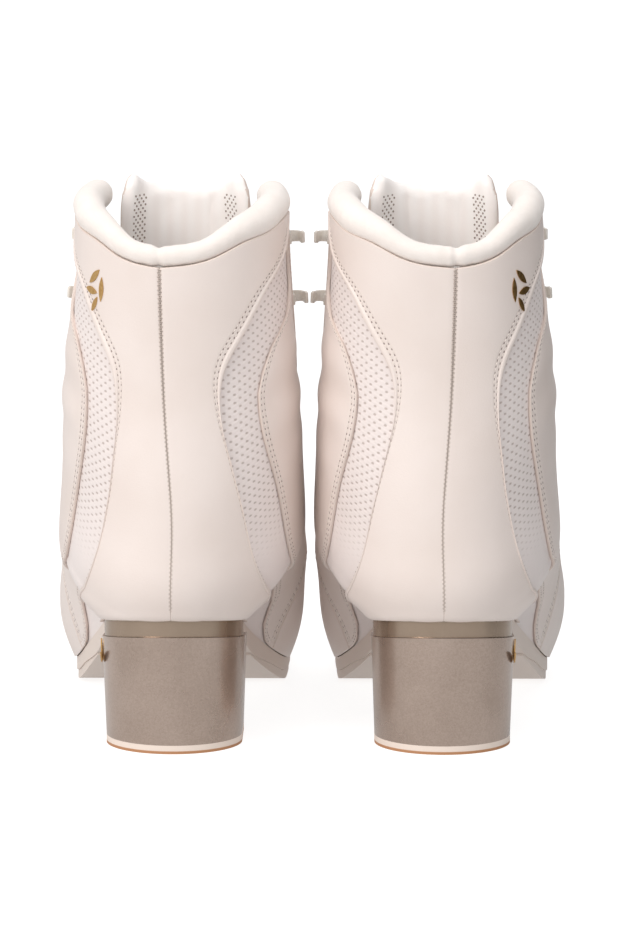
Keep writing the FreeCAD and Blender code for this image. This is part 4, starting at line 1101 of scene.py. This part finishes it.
def makeInsole():
    along = (1 - np.cos(np.linspace(0, math.pi, insole["rows"]))) / 2
    y = mix(heelBack + insole["inset"], soleLength - insole["inset"], along)
    fullLength = soleLength - heelBack
    natural = heelBack + (y - heelBack - insole["inset"]) * fullLength / (fullLength - 2 * insole["inset"])
    edgeStations = np.linspace(7.1, toeStation, 80)
    shift = np.interp(y, rawSection(edgeStations, edgeOnSole(edgeStations))[1], footAt(edgeStations))
    wide = np.linspace(-1, 1, insole["columns"] + 1)
    full = np.stack([soleHalf(natural, -1), soleHalf(natural, 1)])
    halves = full - insole["inset"] * np.minimum(1.0, full / (2 * insole["inset"] + 0.001))
    half = np.where(wide[None, :] < 0, halves[0][:, None], halves[1][:, None])
    x = shift[:, None] + half * np.sin(wide * math.pi / 2)[None, :]
    base = soleZ(y)[:, None] + insole["seat"] + 0 * x
    nearEdge = np.abs(np.sin(wide * math.pi / 2))[None, :]
    rounding = 0.9 * smooth((nearEdge - 0.965) / 0.035)
    cup = insole["cup"] * nearEdge ** 6 * (1 - smooth((y[:, None] - 60) / 80))
    upper = base + insole["thickness"] - rounding + cup - 0.9 * (nearEdge > 0.999)
    rows, columns = x.shape
    top = np.stack([x, np.broadcast_to(y[:, None], x.shape), upper], -1).reshape(-1, 3)
    bottom = np.stack([x, np.broadcast_to(y[:, None], x.shape), base], -1).reshape(-1, 3)
    made = meshFrom("footbed_knit", toRow(np.concatenate([top, bottom])), slabFaces(rows, columns))
    tidyNormals(made, 0.00001)
    return made


footbed = makeInsole()
paint(footbed, shaftKnit)
pairUp(footbed, "insole", ["footbed"])
print("lining and footbed made")


# padded pieces are swelled a little as cloth under pressure, and held to a cap so that they stay in their place
cloth = {"quality": 6, "mass": 0.1, "stretch": 12, "bend": 0.4, "pressure": 4.0, "steps": 20}


def readVertices(obj, normals=False):
    flat = np.zeros(len(obj.data.vertices) * 3, np.float32)
    if normals:
        obj.data.vertex_normals.foreach_get("vector", flat)
    else:
        obj.data.vertices.foreach_get("co", flat)
    return flat.reshape(-1, 3)


def inflate(obj, voxel, cap, held):
    remesh = obj.modifiers.new("voxels", "REMESH")
    remesh.mode, remesh.voxel_size = "VOXEL", voxel / 1000
    bakeModifiers(obj)
    start = readVertices(obj)
    group = obj.vertex_groups.new(name="held")
    for index in np.nonzero(held(start))[0]:
        group.add([int(index)], 1.0, "ADD")
    settings = obj.modifiers.new("cloth", "CLOTH").settings
    settings.quality, settings.mass = cloth["quality"], cloth["mass"]
    settings.tension_stiffness = settings.compression_stiffness = cloth["stretch"]
    settings.bending_stiffness = cloth["bend"]
    settings.use_pressure, settings.uniform_pressure_force = True, cloth["pressure"]
    settings.effector_weights.gravity = 0
    settings.vertex_group_mass = "held"
    for step in range(1, cloth["steps"] + 1):
        bpy.context.scene.frame_set(step)
    bakeModifiers(obj)
    bpy.context.scene.frame_set(1)
    move = readVertices(obj) - start
    reach = np.linalg.norm(move, axis=1, keepdims=True)
    start = start + move * np.minimum(1.0, cap / 1000 / np.maximum(reach, 1e-9))
    print(obj.name, "swelled by up to", round(float(reach.max()) * 1000, 2), "mm, kept to", cap)
    obj.data.vertices.foreach_set("co", start.astype(np.float32).ravel())
    obj.vertex_groups.clear()
    subdivision = obj.modifiers.new("finer", "SUBSURF")
    subdivision.levels = subdivision.render_levels = 1
    bakeModifiers(obj)
    obj.data.shade_smooth()


collar = {"radius": 4.3, "swell": 1.9, "rise": [0.80, 0.62], "endAngle": 118.0, "rows": 160, "ring": 24, "slim": 1.02,
          "voxel": 1.5, "cap": 0.55,
          "pinch": 0.7, "pinchWidth": 1.6}


def collarCentres(angles):
    radius = collar["radius"] + collar["swell"] * smooth((np.abs(angles) - 15) / 55)
    rise = mix(collar["rise"][0], collar["rise"][1], smooth((np.abs(angles) - 15) / 55))
    s = collarAt(np.abs(angles)) - rise * radius / mmPerStation
    return layer(s, angles, 0.61 * radius + 1.75), outward(s, angles), radius


def makeCollar():
    end, rows, ring = collar["endAngle"], collar["rows"], collar["ring"]
    angles = np.linspace(-end, end, rows)
    centre, out, radius = collarCentres(angles)
    tangent = collarCentres(angles + 1)[0] - collarCentres(angles - 1)[0]
    tangent /= np.linalg.norm(tangent, axis=1, keepdims=True)
    up = np.cross(tangent, out)
    up *= np.sign(up[:, 2:3]) / np.linalg.norm(up, axis=1, keepdims=True)
    toEnd = (end - np.abs(angles)) * mmPerDegree
    rounding = np.sqrt(np.maximum(1 - np.maximum(1 - toEnd / radius, 0) ** 2, 0.0004))
    size = (radius * rounding * collar["slim"])[:, None, None]
    turns = (np.arange(ring) * 2 * math.pi / ring)[None, :, None]
    points = centre[:, None, :] + (out[:, None, :] * np.cos(turns) + up[:, None, :] * np.sin(turns)) * size
    faces = [(i * ring + j, i * ring + (j + 1) % ring, (i + 1) * ring + (j + 1) % ring, (i + 1) * ring + j)
             for i in range(rows - 1) for j in range(ring)]
    faces += [tuple(range(ring)), tuple((rows - 1) * ring + j for j in range(ring))]
    roll = meshFrom("collar_roll", toRow(points.reshape(-1, 3)), faces)
    tidyNormals(roll)
    spine = toRow(centre)

    def sewn(places):
        nearest = np.argmin(np.linalg.norm(places[:, None, :] - spine[None, ::4, :], axis=2), axis=1) * 4
        return np.sum((places - spine[nearest]) * up[nearest], axis=1) < -0.0025
    inflate(roll, collar["voxel"], collar["cap"], sewn)
    places, normals = readVertices(roll).astype(float), readVertices(roll, normals=True).astype(float)
    seamPlace = spine[rows // 2]
    fromSeam = (places[:, 0] - seamPlace[0]) * 1000
    behind = places[:, 1] < seamPlace[1] + 0.012
    gathers = 0.12 * np.sin(fromSeam * 1.15) * band(fromSeam, 0, 9)
    dent = collar["pinch"] * band(fromSeam, 0, collar["pinchWidth"]) + gathers
    waves = 0.08 * np.sin(places[:, 0] * 330 + places[:, 1] * 210) * np.sin(places[:, 2] * 260 + places[:, 0] * 120)
    places -= normals * ((dent * behind + waves) / 1000)[:, None]
    roll.data.vertices.foreach_set("co", places.astype(np.float32).ravel())
    return roll


collarRoll = makeCollar()
paint(collarRoll, plush)
pairUp(collarRoll, "boot", ["collar"])
print("collar made")

tongue = {"face": 8.4, "back": 16.0, "edge": 3.6, "slim": 0.5, "voxel": 2.0, "cap": 0.7,
          "sewnBelow": 0.1, "rows": 90, "columns": 60}


def makeTongue():
    rows, columns = tongue["rows"], tongue["columns"]
    u = np.sin(np.linspace(-math.pi / 2, math.pi / 2, rows)) / 2 + 0.5
    v = np.sin(np.linspace(-math.pi / 2, math.pi / 2, columns)) / 2 + 0.5
    u, v = np.meshgrid(u, v, indexing="ij")
    pattern = tonguePattern(0.4)
    s, a = pattern(u, v)
    middle = layer(s, a, 12.0)
    across = np.linalg.norm(np.diff(middle, axis=1), axis=2).sum(1)[:, None]
    down = np.linalg.norm(np.diff(middle, axis=0), axis=2).sum(0)[None, :]
    nearest = np.minimum.reduce([v * across, (1 - v) * across, u * down, (1 - u) * down])
    radius = tongue["edge"]
    drop = radius - np.sqrt(np.maximum(radius ** 2 - np.maximum(radius - nearest, 0) ** 2, 0)) + tongue["slim"]
    outer, inner = layer(s, a, tongue["face"] + drop), layer(s, a, tongue["back"] - drop)
    pad = meshFrom("tongue_cushion", toRow(np.concatenate([outer.reshape(-1, 3), inner.reshape(-1, 3)])),
                   slabFaces(rows, columns))
    tidyNormals(pad)
    inflate(pad, tongue["voxel"], tongue["cap"], lambda places: places[:, 2] < tongue["sewnBelow"])
    paint(pad, whiteLeather, tongueKnit)
    centre = np.array([bootX, bootY + 0.05, 0.0])
    normals = np.array([face.normal for face in pad.data.polygons])
    centres = np.array([face.center for face in pad.data.polygons])
    towardsLeg = np.sum(normals * (centre - centres) * [1, 1, 0], axis=1) > -0.001
    pad.data.polygons.foreach_set("material_index", towardsLeg.astype(np.int32))
    return pad


tonguePad = makeTongue()

# two triangular fields of perforations, in stations down the tongue and degrees across it
dots = {"columns": 6, "start": 1.46, "stagger": 0.05, "pitch": 0.1, "end": 2.95, "shortening": 0.14, "fromEdge": 6.5,
        "columnPitch": 2.9}


def tongueDots(pad):
    places, normals, headings = [], [], []
    for sign in (1, -1):
        for column in range(dots["columns"]):
            last = dots["end"] - dots["shortening"] * column
            for s in np.arange(dots["start"] + dots["stagger"] * (column % 2), last, dots["pitch"]):
                a = sign * (180 - tongueSpread(s) + dots["fromEdge"] + column * dots["columnPitch"])
                spot, normal = pad.closest_point_on_mesh(Vector(toRow(layer(s, a, tongue["back"] + 1.0))))[1:3]
                places.append((np.array(spot) - [bootX, bootY, 0.0]) * 1000 + np.array(normal) * 0.04)
                normals.append(np.array(normal))
                headings.append((1.0, 0.0, 0.0))
    return np.array(places), np.array(normals), np.array(headings)


dotPart = turnedPart("perforation", [(0.01, -0.03), (0.42, -0.03), (0.46, 0.02), (0.40, 0.0), (0.01, -0.005)], 8)
tonguePerforations = setParts("tongue_perforations", dotPart, tongueDots(tonguePad), hole)
pairUp(tonguePad, "tongue_flap", ["tongue_face", "tongue_pad", "tongue_lining"])
pairUp(tonguePerforations, "tongue_flap", [])
print("tongue made")


# stitch rows: beads of thread with a needle hole after each, and a zigzag over the back seam
stitching = {"pitch": 2.45, "length": 1.5, "thread": 0.24, "hole": 0.44, "seamPitch": 0.85, "seamWidth": 1.8,
             "seamStitch": 2.1, "seamThread": 0.22, "seamHole": 0.2}


def rowOn(face, edge, inset, start=0.0, end=1.0):
    t = np.linspace(start, end, 260)
    if edge in ("left", "right"):
        share = inset / face["lengthU"](t)
        u, v = (share if edge == "left" else 1 - share), t
    else:
        share = inset / face["lengthV"](t)
        u, v = t, (share if edge == "top" else 1 - share)
    u, v = u[:, None], v[:, None]
    points, s, a, nearest = face["at"](u, v, 0.06)
    return points[:, 0], outward(s[:, 0], face["sign"] * a[:, 0])


def sewRows(name, rows, values):
    points = np.concatenate([row[0] for row in rows])
    normals = np.concatenate([row[1] for row in rows])
    mesh = bpy.data.meshes.new(name)
    edges, first = [], 0
    for row in rows:
        edges += [(first + i, first + i + 1) for i in range(len(row[0]) - 1)]
        first += len(row[0])
    mesh.from_pydata([tuple(p) for p in toRow(points)], edges, [])
    obj = bpy.data.objects.new(name, mesh)
    bpy.context.scene.collection.objects.link(obj)
    storeValues(obj, "outward", normals, "FLOAT_VECTOR")
    settings = {"Pitch": stitching["pitch"] / 1000, "Length": stitching["length"] / 1000,
                "Thread": stitching["thread"] / 1000,
                "Hole": stitching["hole"] / 1000, "Thread Finish": paleThread, "Hole Finish": hole}
    runTree(obj, stitchTree, {**settings, **values})
    return obj


panelRows = []
for sideName, sign in sides.items():
    panelRows += [rowOn(quarterFaces[sideName], "right", inset, 0.03, 0.93) for inset in panels["rowInset"]]
    panelRows += [rowOn(eyestayFaces[sideName], "left", inset, 0.03, 0.97) for inset in panels["frontRows"]]
    panelRows += [rowOn(eyestayFaces[sideName], "bottom", inset, 0.04, 0.97) for inset in panels["seamRows"]]
    panelRows += [rowOn(facingFaces[sideName], edge, 1.5, 0.01, 0.99) for edge in ("left", "right")]
seams = sewRows("panel_stitches", panelRows, {})
pairUp(seams, "boot", [])

s = np.linspace(collarAt(0) + 0.02, heelStation(0.8), 300)
a = np.zeros_like(s)
slant = math.atan2(stitching["seamWidth"], stitching["seamPitch"])
backSeam = sewRows("back_seam_stitches", [(layer(s, a, 0.10), outward(s, a))],
                   {"Pitch": stitching["seamPitch"] / 1000, "Length": stitching["seamStitch"] / 1000,
                    "Thread": stitching["seamThread"] / 1000, "Slant": slant, "Hole": stitching["seamHole"] / 1000,
                    "Thread Finish": seamThread})
pairUp(backSeam, "boot", ["back_seam"])
print("stitches made")

# floor, light and camera: a white sweep that glows for the lens, a soft key from the left, a spot on the cuffs
# and a dark card at the right
studio = {"cameraPlace": (0.022, -1.927, 0.375), "pitchDown": 8.18, "yaw": 0.66, "lens": 179.85, "sensor": 36.0,
          "ambient": 0.66, "floorGlow": (0.4, 0.86), "cuffSpot": ((-0.2, -1.7, 0.75), 9.0, 7.0),
          "card": [(0.4, -0.2, 0.0), (0.4, 0.6, 0.0), (0.4, 0.6, 0.3), (0.4, -0.2, 0.3)],
          "lamps": {"keySoftbox": ((-1.5, -1.7, 1.3), 0.9, 21.0, "#fff8f2"),
                    "topSoftbox": ((-0.1, -0.5, 2.0), 1.2, 13.0, "#ffffff")}}


def onlyForCamera(tree, hidden, shown):
    seen = addNode(tree, "ShaderNodeLightPath").outputs["Is Camera Ray"]
    return addNode(tree, "ShaderNodeMapRange", {"Value": seen, "To Min": hidden, "To Max": shown}).outputs["Result"]


floor = meshFrom("studio_floor", np.array([(-20, -20, 0), (20, -20, 0), (20, 20, 0), (-20, 20, 0)], float),
                 [(0, 1, 2, 3)])
floorMaterial, floorTree, floorShader, floorPlace = startMaterial("paleStudioFloor", "#959595", 0.9)
floorMottle = addNode(floorTree, "ShaderNodeTexNoise", {"Vector": floorPlace, "Scale": 3.0}).outputs[0]
shadeBy(floorTree, floorShader, floorMottle, "#929292", "#989898")
floorShader.inputs["Emission Color"].default_value = colour("#ffffff")
floorTree.links.new(onlyForCamera(floorTree, *studio["floorGlow"]), floorShader.inputs["Emission Strength"])
paint(floor, floorMaterial)

cardMaterial, cardTree, cardShader, cardPlace = startMaterial("darkCard", "#3a3632", 0.9)
cardMottle = addNode(cardTree, "ShaderNodeTexNoise", {"Vector": cardPlace, "Scale": 8.0}).outputs[0]
shadeBy(cardTree, cardShader, cardMottle, "#2b2825", "#35312d")
card = meshFrom("studio_card", np.array(studio["card"]), [(0, 1, 2, 3)])
paint(card, cardMaterial)

world = bpy.data.worlds.new("studioWorld")
bpy.context.scene.world = world
world.use_nodes = True
backdrop = world.node_tree.nodes["Background"]
backdrop.inputs["Color"].default_value = colour("#ffffff")
world.node_tree.links.new(onlyForCamera(world.node_tree, studio["ambient"], 1.0), backdrop.inputs["Strength"])


def hangLamp(name, lamp, place, aim):
    holder = bpy.data.objects.new(name, lamp)
    holder.location = place
    holder.rotation_euler = (Vector(aim) - Vector(place)).to_track_quat("-Z", "Y").to_euler()
    bpy.context.scene.collection.objects.link(holder)


for name, (place, size, power, hexValue) in studio["lamps"].items():
    lamp = bpy.data.lights.new(name, "AREA")
    lamp.size, lamp.energy, lamp.color = size, power, colour(hexValue)[:3]
    hangLamp(name, lamp, place, (0, 0, 0.1))
spotPlace, spotPower, spotAngle = studio["cuffSpot"]
spot = bpy.data.lights.new("cuffSpot", "SPOT")
spot.energy, spot.spot_size = spotPower, math.radians(spotAngle * 2)
spot.spot_blend, spot.shadow_soft_size = 1.0, 0.12
hangLamp("cuffSpot", spot, spotPlace, (0, 0, 0.25))

camera = bpy.data.objects.new("camera", bpy.data.cameras.new("camera"))
camera.data.lens, camera.data.sensor_width = studio["lens"], studio["sensor"]
camera.location = studio["cameraPlace"]
camera.rotation_euler = (math.radians(90 - studio["pitchDown"]), 0, math.radians(studio["yaw"]))
bpy.context.scene.collection.objects.link(camera)
bpy.context.scene.camera = camera
bpy.context.scene.view_settings.view_transform = "Standard"
print("studio made")
